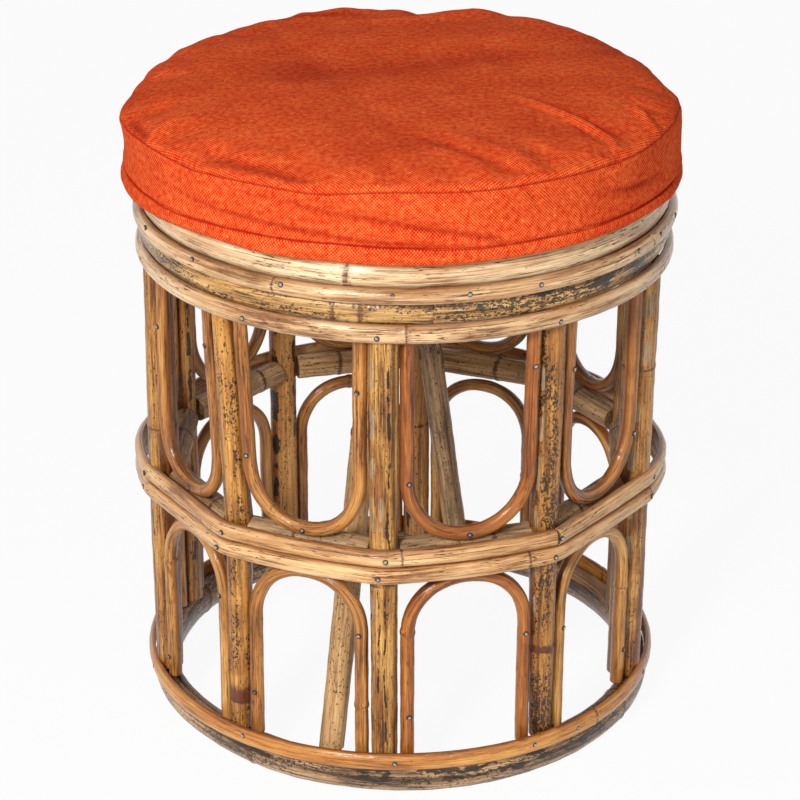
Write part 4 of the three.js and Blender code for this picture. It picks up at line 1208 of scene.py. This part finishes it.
# Folds of the top panel: (points on the panel in mm, width and height in mm)
top_folds = (
    (((78, -44), (108, -80), (136, -111), (142, -124)), 4.2, 3.6),
    (((90, -44), (122, -84), (148, -112)), 4.6, -2.0),
    (((150, -50), (160, -70), (170, -92)), 3.8, 3.2),
    (((10, -122), (40, -146), (67, -166), (88, -169)), 5.0, -1.8),
    (((30, -116), (60, -140), (90, -156)), 6.0, 1.3),
    (((-166, -98), (-156, -86), (-143, -70)), 3.5, 1.8),
    (((-180, -52), (-172, -78), (-163, -98)), 3.0, -2.4),
    (((-128, -126), (-104, -148), (-80, -164), (-54, -177)), 4.0, -2.0),
    (((-118, -116), (-96, -136), (-66, -156)), 6.0, 1.0),
    (((-110, 150), (-60, 158), (-20, 160)), 6.0, -2.4),
    (((-40, 138), (0, 140), (40, 160), (70, 176)), 8.0, 2.4),
    (((0, 60), (60, 90), (130, 130)), 22.0, 1.6),
    (((-100, 20), (-20, 10), (60, 30)), 30.0, -1.2),
)
# Folds of the side band: (points as azimuth in degrees and height in mm, width and height in mm)
side_folds = (
    (((-31, 436), (-14, 428), (0, 422), (12, 414), (19, 409), (21, 404)), 2.6, -1.5),
    (((-24, 440), (-8, 435), (8, 427), (18, 419)), 4.0, 2.2),
    (((-30, 425), (-12, 420), (6, 413), (16, 408)), 2.8, 1.5),
    (((23.8, 443), (27.4, 427)), 0.9, -1.1),
    (((-52, 423), (-38, 418), (-18, 414), (0, 409), (12, 406)), 2.0, -1.5),
    (((-46, 428), (-32, 425), (-20, 427)), 3.2, 1.8),
    (((34, 436), (46, 428), (58, 424)), 3.5, 1.8),
    (((40, 430), (52, 420), (66, 416)), 3.0, -1.5),
    (((100, 430), (130, 422), (150, 425)), 3.0, -1.2),
    (((-170, 430), (-140, 420), (-110, 426)), 3.0, -1.2),
)

azimuths = full_turn(COVER_COLUMNS)
hem_share = np.linspace(0, 1, HEM_ROWS)[:-1]
side_share = np.linspace(0, 1, SIDE_ROWS)[:-1]
top_steps = np.linspace(0, 1, TOP_ROWS)[:-1]
top_share = 1 - (0.35 * top_steps**2 + 0.65 * top_steps)
# How far the rim of the top panel is lifted, by azimuth in degrees, in mm
rim_lifts = ((-180, 1.2), (-176, 2.6), (-171, 4), (-166, 5.4), (-160, 6.5), (-154, 5.2), (-149, 4.1),
             (-143, 2.9), (-132, 1.6), (-124, 0), (124, 0), (132, 0.8), (139, 2.6), (146, 2.9), (153, 4.2),
             (158, 4.6), (164, 2.4), (170, 1.2), (180, 1.2))
# Heights of the hem's foot, the crease and the seam, by azimuth in degrees, off their means in mm
hem_drops = ((-180, 0), (-82, -3), (-68, -1.5), (-50, 2.5), (-38, 2.8), (-29, 1.2), (-12, 1.2), (0, 0.2),
             (15, 0.4), (31, 0.8), (45, 1.4), (59, 1), (76, -1.5), (100, 0), (180, 0))
crease_drops = ((-180, 0), (-82, -3), (-62, -1.5), (-46, -0.8), (-34, 0.5), (-10, 1.2), (0, 0),
                (16, -2.4), (31, -2), (46, -3), (60, -3.4), (78, -4), (100, -1), (180, 0))
seam_drops = ((-180, 0), (-72, -1.4), (-57, 0), (-45, -2.4), (-33, -1.4), (-21, -2), (-16, -3), (-3, 1.4),
              (18, -0.4), (31, 0.4), (53, -0.4), (66, 1.5), (76, 3), (90, 1.5), (180, 0))

hem_foot = HEM_FOOT + drop_by_azimuth(hem_drops, azimuths)
crease = CREASE_HEIGHT + drop_by_azimuth(crease_drops, azimuths)
seam = SEAM_HEIGHT + drop_by_azimuth(seam_drops, azimuths)
hem_height = hem_foot + hem_share[:, None] * (crease - hem_foot)
hem_bulge = HEM_BULGE * np.sin(np.pi * np.clip(hem_share * 0.92 + 0.08, 0, 1))[:, None]
hem_wave = HEM_WAVE * waves(azimuths[None] * CUSHION_RADIUS, 0.09, 5)
full_side = FULL_SIDE_BULGE * bell(azimuths - FULL_SIDE_AZIMUTH, FULL_SIDE_REACH)[None]
hem_reach = CUSHION_RADIUS - HEM_INSET + hem_bulge + hem_wave + 0.7 * full_side
side_height = crease + side_share[:, None] * (seam - crease)
side_base = side_reach(CREASE_HEIGHT + side_share * (SEAM_HEIGHT - CREASE_HEIGHT))[:, None]
seam_push = drop_by_azimuth(seam_pushes, azimuths)
side_base = side_base + seam_push * side_share[:, None] ** 2
side_base = side_base + full_side * np.cos(np.pi / 2 * side_share[:, None] ** 2)
top_reach = CUSHION_RADIUS * top_share[:, None]
top_height = SEAM_HEIGHT + (seam - SEAM_HEIGHT) * top_share[:, None] ** 3 + crown(top_share)[:, None]
rim_lift = drop_by_azimuth(rim_lifts, azimuths)
top_height = top_height + rim_lift * bell(top_share[:, None] - 0.93, 0.09)
reach = np.concatenate([hem_reach, side_base + 0 * seam, top_reach + seam_push * top_share[:, None] ** 6])
height = np.concatenate([hem_height, side_height, top_height])
cover_grid = lathe_points(azimuths, reach, height)

moved = filled_cloth()
sim_rows = np.concatenate([side_share * (SIM_SIDE_ROWS - 1),
                           SIM_SIDE_ROWS - 1 + (1 - top_share) / 0.97 * (SIM_TOP_ROWS - 1)])
filled = finer(moved, np.minimum(sim_rows, len(moved) - 1.001), COVER_COLUMNS)
middle_fade = np.concatenate([np.ones(SIDE_ROWS - 1), np.clip(top_share / 0.25, 0, 1)])
cover_grid[HEM_ROWS - 1:] += filled * middle_fade[:, None, None]

facing = np.cross(np.roll(cover_grid, -1, axis=1) - np.roll(cover_grid, 1, axis=1),
                  np.gradient(cover_grid, axis=0))
facing /= np.linalg.norm(facing, axis=-1, keepdims=True)
first_side = HEM_ROWS - 1
first_top = first_side + SIDE_ROWS - 1
panel = cover_grid[first_top:]
lift = np.zeros(cover_grid.shape[:2])
for line, width, tall in top_folds:
    points = [(x * MM, y * MM) for x, y in line]
    lift[first_top:] += fold(panel[..., 0], panel[..., 1], points, width * MM, tall * MM)
lift[first_top:] += 0.7 * MM * waves(panel[..., 0] + 0.4 * panel[..., 1], 0.13, 71)
lift[first_top:] += 0.6 * MM * waves(panel[..., 1] - 0.3 * panel[..., 0], 0.16, 73)
arc = ((np.degrees(azimuths) + 180) % 360 - 180)[None] + 0 * side_height
for line, width, tall in side_folds:
    points = [(np.radians(a) * CUSHION_RADIUS, z * MM) for a, z in line]
    lift[first_side:first_top] += fold(np.radians(arc) * CUSHION_RADIUS, side_height, points,
                                       width * MM, tall * MM)
# Painted shade in the folds: the deeper the cloth dips, the darker it is painted
shade = np.clip(-lift / PANEL_SHADE_DEPTH, 0, 1)
shade[first_side:first_top] = np.clip(-lift[first_side:first_top] / SIDE_SHADE_DEPTH, 0, 1)
# Along the seam and the crease the cloth dips at the stitches, rises beside them and puckers
along_top = CUSHION_RADIUS - top_reach
pucker = waves(azimuths[None] * CUSHION_RADIUS, 0.05, 81, 2)
below_seam = seam - side_height
above_crease = side_height - crease
lift[first_top:] += 0.6 * MM * bell(along_top - 2.6 * MM, 2.4 * MM) * (1 + 0.3 * pucker)
lift[first_top:] += 0.35 * MM * pucker * bell(along_top, 9 * MM)
lift[first_side:first_top] -= 0.8 * MM * bell(below_seam, 1.3 * MM)
lift[first_side:first_top] += 0.3 * MM * bell(below_seam - 3 * MM, 1.8 * MM)
lift[first_side:first_top] -= 1.6 * MM * bell(above_crease, 1.5 * MM)
lift[first_side:first_top] += 0.8 * MM * bell(above_crease - 4 * MM, 2.4 * MM)
cover_grid += facing * lift[..., None]

# The inside of the cloth, with fewer rows than its outside
inner_grid = cover_grid[:first_top + 1] - facing[:first_top + 1] * CLOTH_THICKNESS
inner_grid = inner_grid[::3]
inner_grid[0] = cover_grid[0] - toward(azimuths) * CLOTH_THICKNESS
under_top = cover_grid[first_top::12] - facing[first_top::12] * CLOTH_THICKNESS
inside = np.concatenate([inner_grid, under_top])[::-1]
cover_rows = np.concatenate([inside, cover_grid])
rows = len(cover_rows)
inner_rows = len(inside)
tips = np.array([[0, 0, cover_rows[0, :, 2].mean()], [0, 0, cover_rows[-1, :, 2].mean()]])
quads, fans = tube_faces(rows, COVER_COLUMNS)
cover_points = np.concatenate([cover_rows.reshape(-1, 3), tips])
cover_mesh = smooth_mesh("canvas_cover", cover_points, (quads, fans))

# The weave lies flat on the top panel and runs round the side band, so it has its own UV map
flat_map = cover_rows[..., :2].copy()
profile_steps = np.hypot(np.diff(top_reach[:, 0]), np.diff(crown(top_share)))
unrolled = top_reach[-1, 0] + np.concatenate([np.cumsum(profile_steps[::-1])[::-1], [0]])
flat_map[inner_rows + first_top:] = toward(azimuths)[None, :, :2] * unrolled[:, None, None]
wrapped = np.stack([azimuths[None] * CUSHION_RADIUS + 0 * cover_rows[..., 2], cover_rows[..., 2]], axis=-1)
side_like = np.zeros(rows, bool)
side_like[inner_rows:inner_rows + first_top] = True
seam_line = np.zeros(cover_rows.shape[:2])
outer_off = np.concatenate([np.full((first_side, COVER_COLUMNS), 1.0), below_seam, along_top + 0 * seam])
seam_line[inner_rows:] = 0.8 * bell(outer_off, 0.8 * MM)
crease_off = np.concatenate([crease - hem_height, above_crease, np.full(top_height.shape, 1.0)])
seam_line[inner_rows:] += bell(crease_off, 1.0 * MM)
loops = np.zeros(len(cover_mesh.loops), int)
cover_mesh.loops.foreach_get("vertex_index", loops)
all_flat = np.concatenate([flat_map.reshape(-1, 2), tips[:, :2]])
all_wrapped = np.concatenate([wrapped.reshape(-1, 2), tips[:, :2]])
is_side = np.zeros(len(cover_mesh.polygons), bool)
is_side[:len(quads)] = np.repeat(side_like[:-1], COVER_COLUMNS)
totals = np.zeros(len(cover_mesh.polygons), int)
cover_mesh.polygons.foreach_get("loop_total", totals)
loop_side = np.repeat(is_side, totals)
face_column = np.zeros(len(cover_mesh.polygons), int)
face_column[:len(quads)] = np.tile(np.arange(COVER_COLUMNS), rows - 1)
loop_column = np.repeat(face_column, totals)
uv = np.where(loop_side[:, None], all_wrapped[loops], all_flat[loops])
seam_jump = loop_side & (loop_column == COVER_COLUMNS - 1) & (loops % COVER_COLUMNS == 0)
uv[seam_jump, 0] += TURN * CUSHION_RADIUS
cover_mesh.uv_layers.new(name="weave").data.foreach_set("uv", uv.ravel())
add_layer(cover_mesh, "sewn", seam_line)
add_layer(cover_mesh, "painted_fold_shade", np.concatenate([0 * inside[..., 0], shade]))


def canvas_finish():
    """Coarse plain-woven canvas: a checker of light and dark threads, the product of two sines, broken by
    uneven yarn and pale flecks, with darker cloth in the sewn lines and painted shade in the folds."""
    material, tree, shader = new_finish("orange_canvas")
    place = add_node(tree, "ShaderNodeUVMap", {}, uv_map="weave").outputs["UV"]
    parts = add_node(tree, "ShaderNodeSeparateXYZ", {"Vector": place})
    two_threads = TURN / WEAVE_REPEAT
    wobble = sums(tree, "MULTIPLY", cloth_noise(tree, place, 4 * MM, 2.0, 4.0), 0.8 * MM)
    ribs = [sums(tree, "SINE", sums(tree, "MULTIPLY", sums(tree, "ADD", parts.outputs[axis], wobble),
                                    two_threads), 0.0) for axis in ("X", "Y")]
    weave = sums(tree, "MULTIPLY", ribs[0], ribs[1])
    yarn = cloth_noise(tree, place, 1.9 * MM, 1.0, 8.0)
    weave = sums(tree, "ADD", sums(tree, "MULTIPLY", weave, 0.7), sums(tree, "MULTIPLY", yarn, 1.4))
    cloud = cloth_noise(tree, place, 16 * MM, 4.0, 12.0)
    deep = blend_colour(tree, step_up(tree, cloud, 0.3, 0.7), paint(200, 10, 4), paint(210, 26, 8))
    pale = blend_colour(tree, step_up(tree, cloud, 0.35, 0.75), paint(236, 110, 52), paint(246, 126, 62))
    colour = blend_colour(tree, step_up(tree, weave, 0.3, 1.1), deep, pale)
    fleck = step_up(tree, cloth_noise(tree, place, 1.2 * MM, 0.0, 15.0), 0.76, 0.82, 0.55)
    colour = blend_colour(tree, fleck, colour, paint(248, 168, 86))
    # Painted shade, multiplied in where the folds dip
    painted_fold_shade = sums(tree, "MULTIPLY", read_layer(tree, "painted_fold_shade"), 0.8)
    colour = blend_colour(tree, painted_fold_shade, colour, paint(196, 148, 156), "MULTIPLY")
    sewn = step_up(tree, read_layer(tree, "sewn"), 0.3, 0.9, 0.9)
    colour = blend_colour(tree, sewn, colour, paint(156, 22, 12))
    bump = add_node(tree, "ShaderNodeBump", {"Strength": 0.5, "Distance": 0.3 * MM, "Height": weave})
    tree.links.new(colour, shader.inputs["Base Color"])
    tree.links.new(bump.outputs["Normal"], shader.inputs["Normal"])
    shader.inputs["Roughness"].default_value = 0.95
    shader.inputs["Specular IOR Level"].default_value = 0.08
    return material


cover = add_piece("canvas_cover", cover_mesh, canvas_finish(), "cushion")
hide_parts("cushion_cover")

# Studio: a pale floor, a white surround, two broad soft lamps and the photograph's camera.
FLOOR_REACH = 6.0
FLOOR_GLOW = 0.93
SKY_STRENGTH = 0.28
WHITE = (1.0, 1.0, 1.0, 1.0)
LAMP_AIM = (0, 0, 0.25)
CAMERA_PLACE = (0, -1.817, 1.0325)
CAMERA_TILT = np.radians(65.83)
CAMERA_LENS = 124.65


def in_view(tree):
    """1 for rays that come from the camera, by a mirror or glass too, and 0 for all others."""
    seen = add_node(tree, "ShaderNodeLightPath", {})
    mirrored = sums(tree, "MAXIMUM", seen.outputs["Is Glossy Ray"], seen.outputs["Is Transmission Ray"])
    return sums(tree, "MAXIMUM", seen.outputs["Is Camera Ray"], mirrored)


floor_mesh = bpy.data.meshes.new("floor")
floor_mesh.from_pydata([(-FLOOR_REACH, -FLOOR_REACH, 0), (FLOOR_REACH, -FLOOR_REACH, 0),
                        (FLOOR_REACH, FLOOR_REACH, 0), (-FLOOR_REACH, FLOOR_REACH, 0)], [], [(0, 1, 2, 3)])
floor = bpy.data.objects.new("floor", floor_mesh)
bpy.context.scene.collection.objects.link(floor)
floor_finish, tree, shader = new_finish("floor_white")
shader.inputs["Base Color"].default_value = (0.9, 0.9, 0.9, 1.0)
shader.inputs["Roughness"].default_value = 0.9
glow = add_node(tree, "ShaderNodeEmission", {"Color": WHITE, "Strength": 1.0})
share = sums(tree, "MULTIPLY", in_view(tree), FLOOR_GLOW)
mixed = add_node(tree, "ShaderNodeMixShader", {0: share, 1: shader.outputs[0], 2: glow.outputs[0]})
tree.links.new(mixed.outputs[0], tree.nodes["Material Output"].inputs["Surface"])
floor_mesh.materials.append(floor_finish)

world = bpy.data.worlds.new("studio")
bpy.context.scene.world = world
world.use_nodes = True
tree = world.node_tree
bright = sums(tree, "MULTIPLY", in_view(tree), 1.0 - SKY_STRENGTH)
bright = sums(tree, "ADD", bright, SKY_STRENGTH)
background = tree.nodes["Background"]
background.inputs["Color"].default_value = WHITE
tree.links.new(bright, background.inputs["Strength"])


def hang_lamp(name, place, size, power):
    """A square soft lamp at a place, turned to face the middle of the stool."""
    light = bpy.data.lights.new(name, "AREA")
    light.size = size
    light.energy = power
    lamp = bpy.data.objects.new(name, light)
    lamp.location = place
    back = np.array(place) - np.array(LAMP_AIM)
    flat = np.hypot(back[0], back[1])
    lamp.rotation_euler = (np.arctan2(flat, back[2]), 0, np.arctan2(back[0], -back[1]))
    bpy.context.scene.collection.objects.link(lamp)


hang_lamp("key_lamp", place=(-0.75, -1.88, 1.42), size=0.4, power=43)
hang_lamp("side_lamp", place=(0.9, -1.9, 0.9), size=0.3, power=6)

camera_data = bpy.data.cameras.new("camera")
camera_data.sensor_width = 36
camera_data.lens = CAMERA_LENS
camera = bpy.data.objects.new("camera", camera_data)
camera.location = CAMERA_PLACE
camera.rotation_euler = (CAMERA_TILT, 0, 0)
bpy.context.scene.collection.objects.link(camera)
bpy.context.scene.camera = camera
bpy.context.scene.view_settings.view_transform = "Standard"
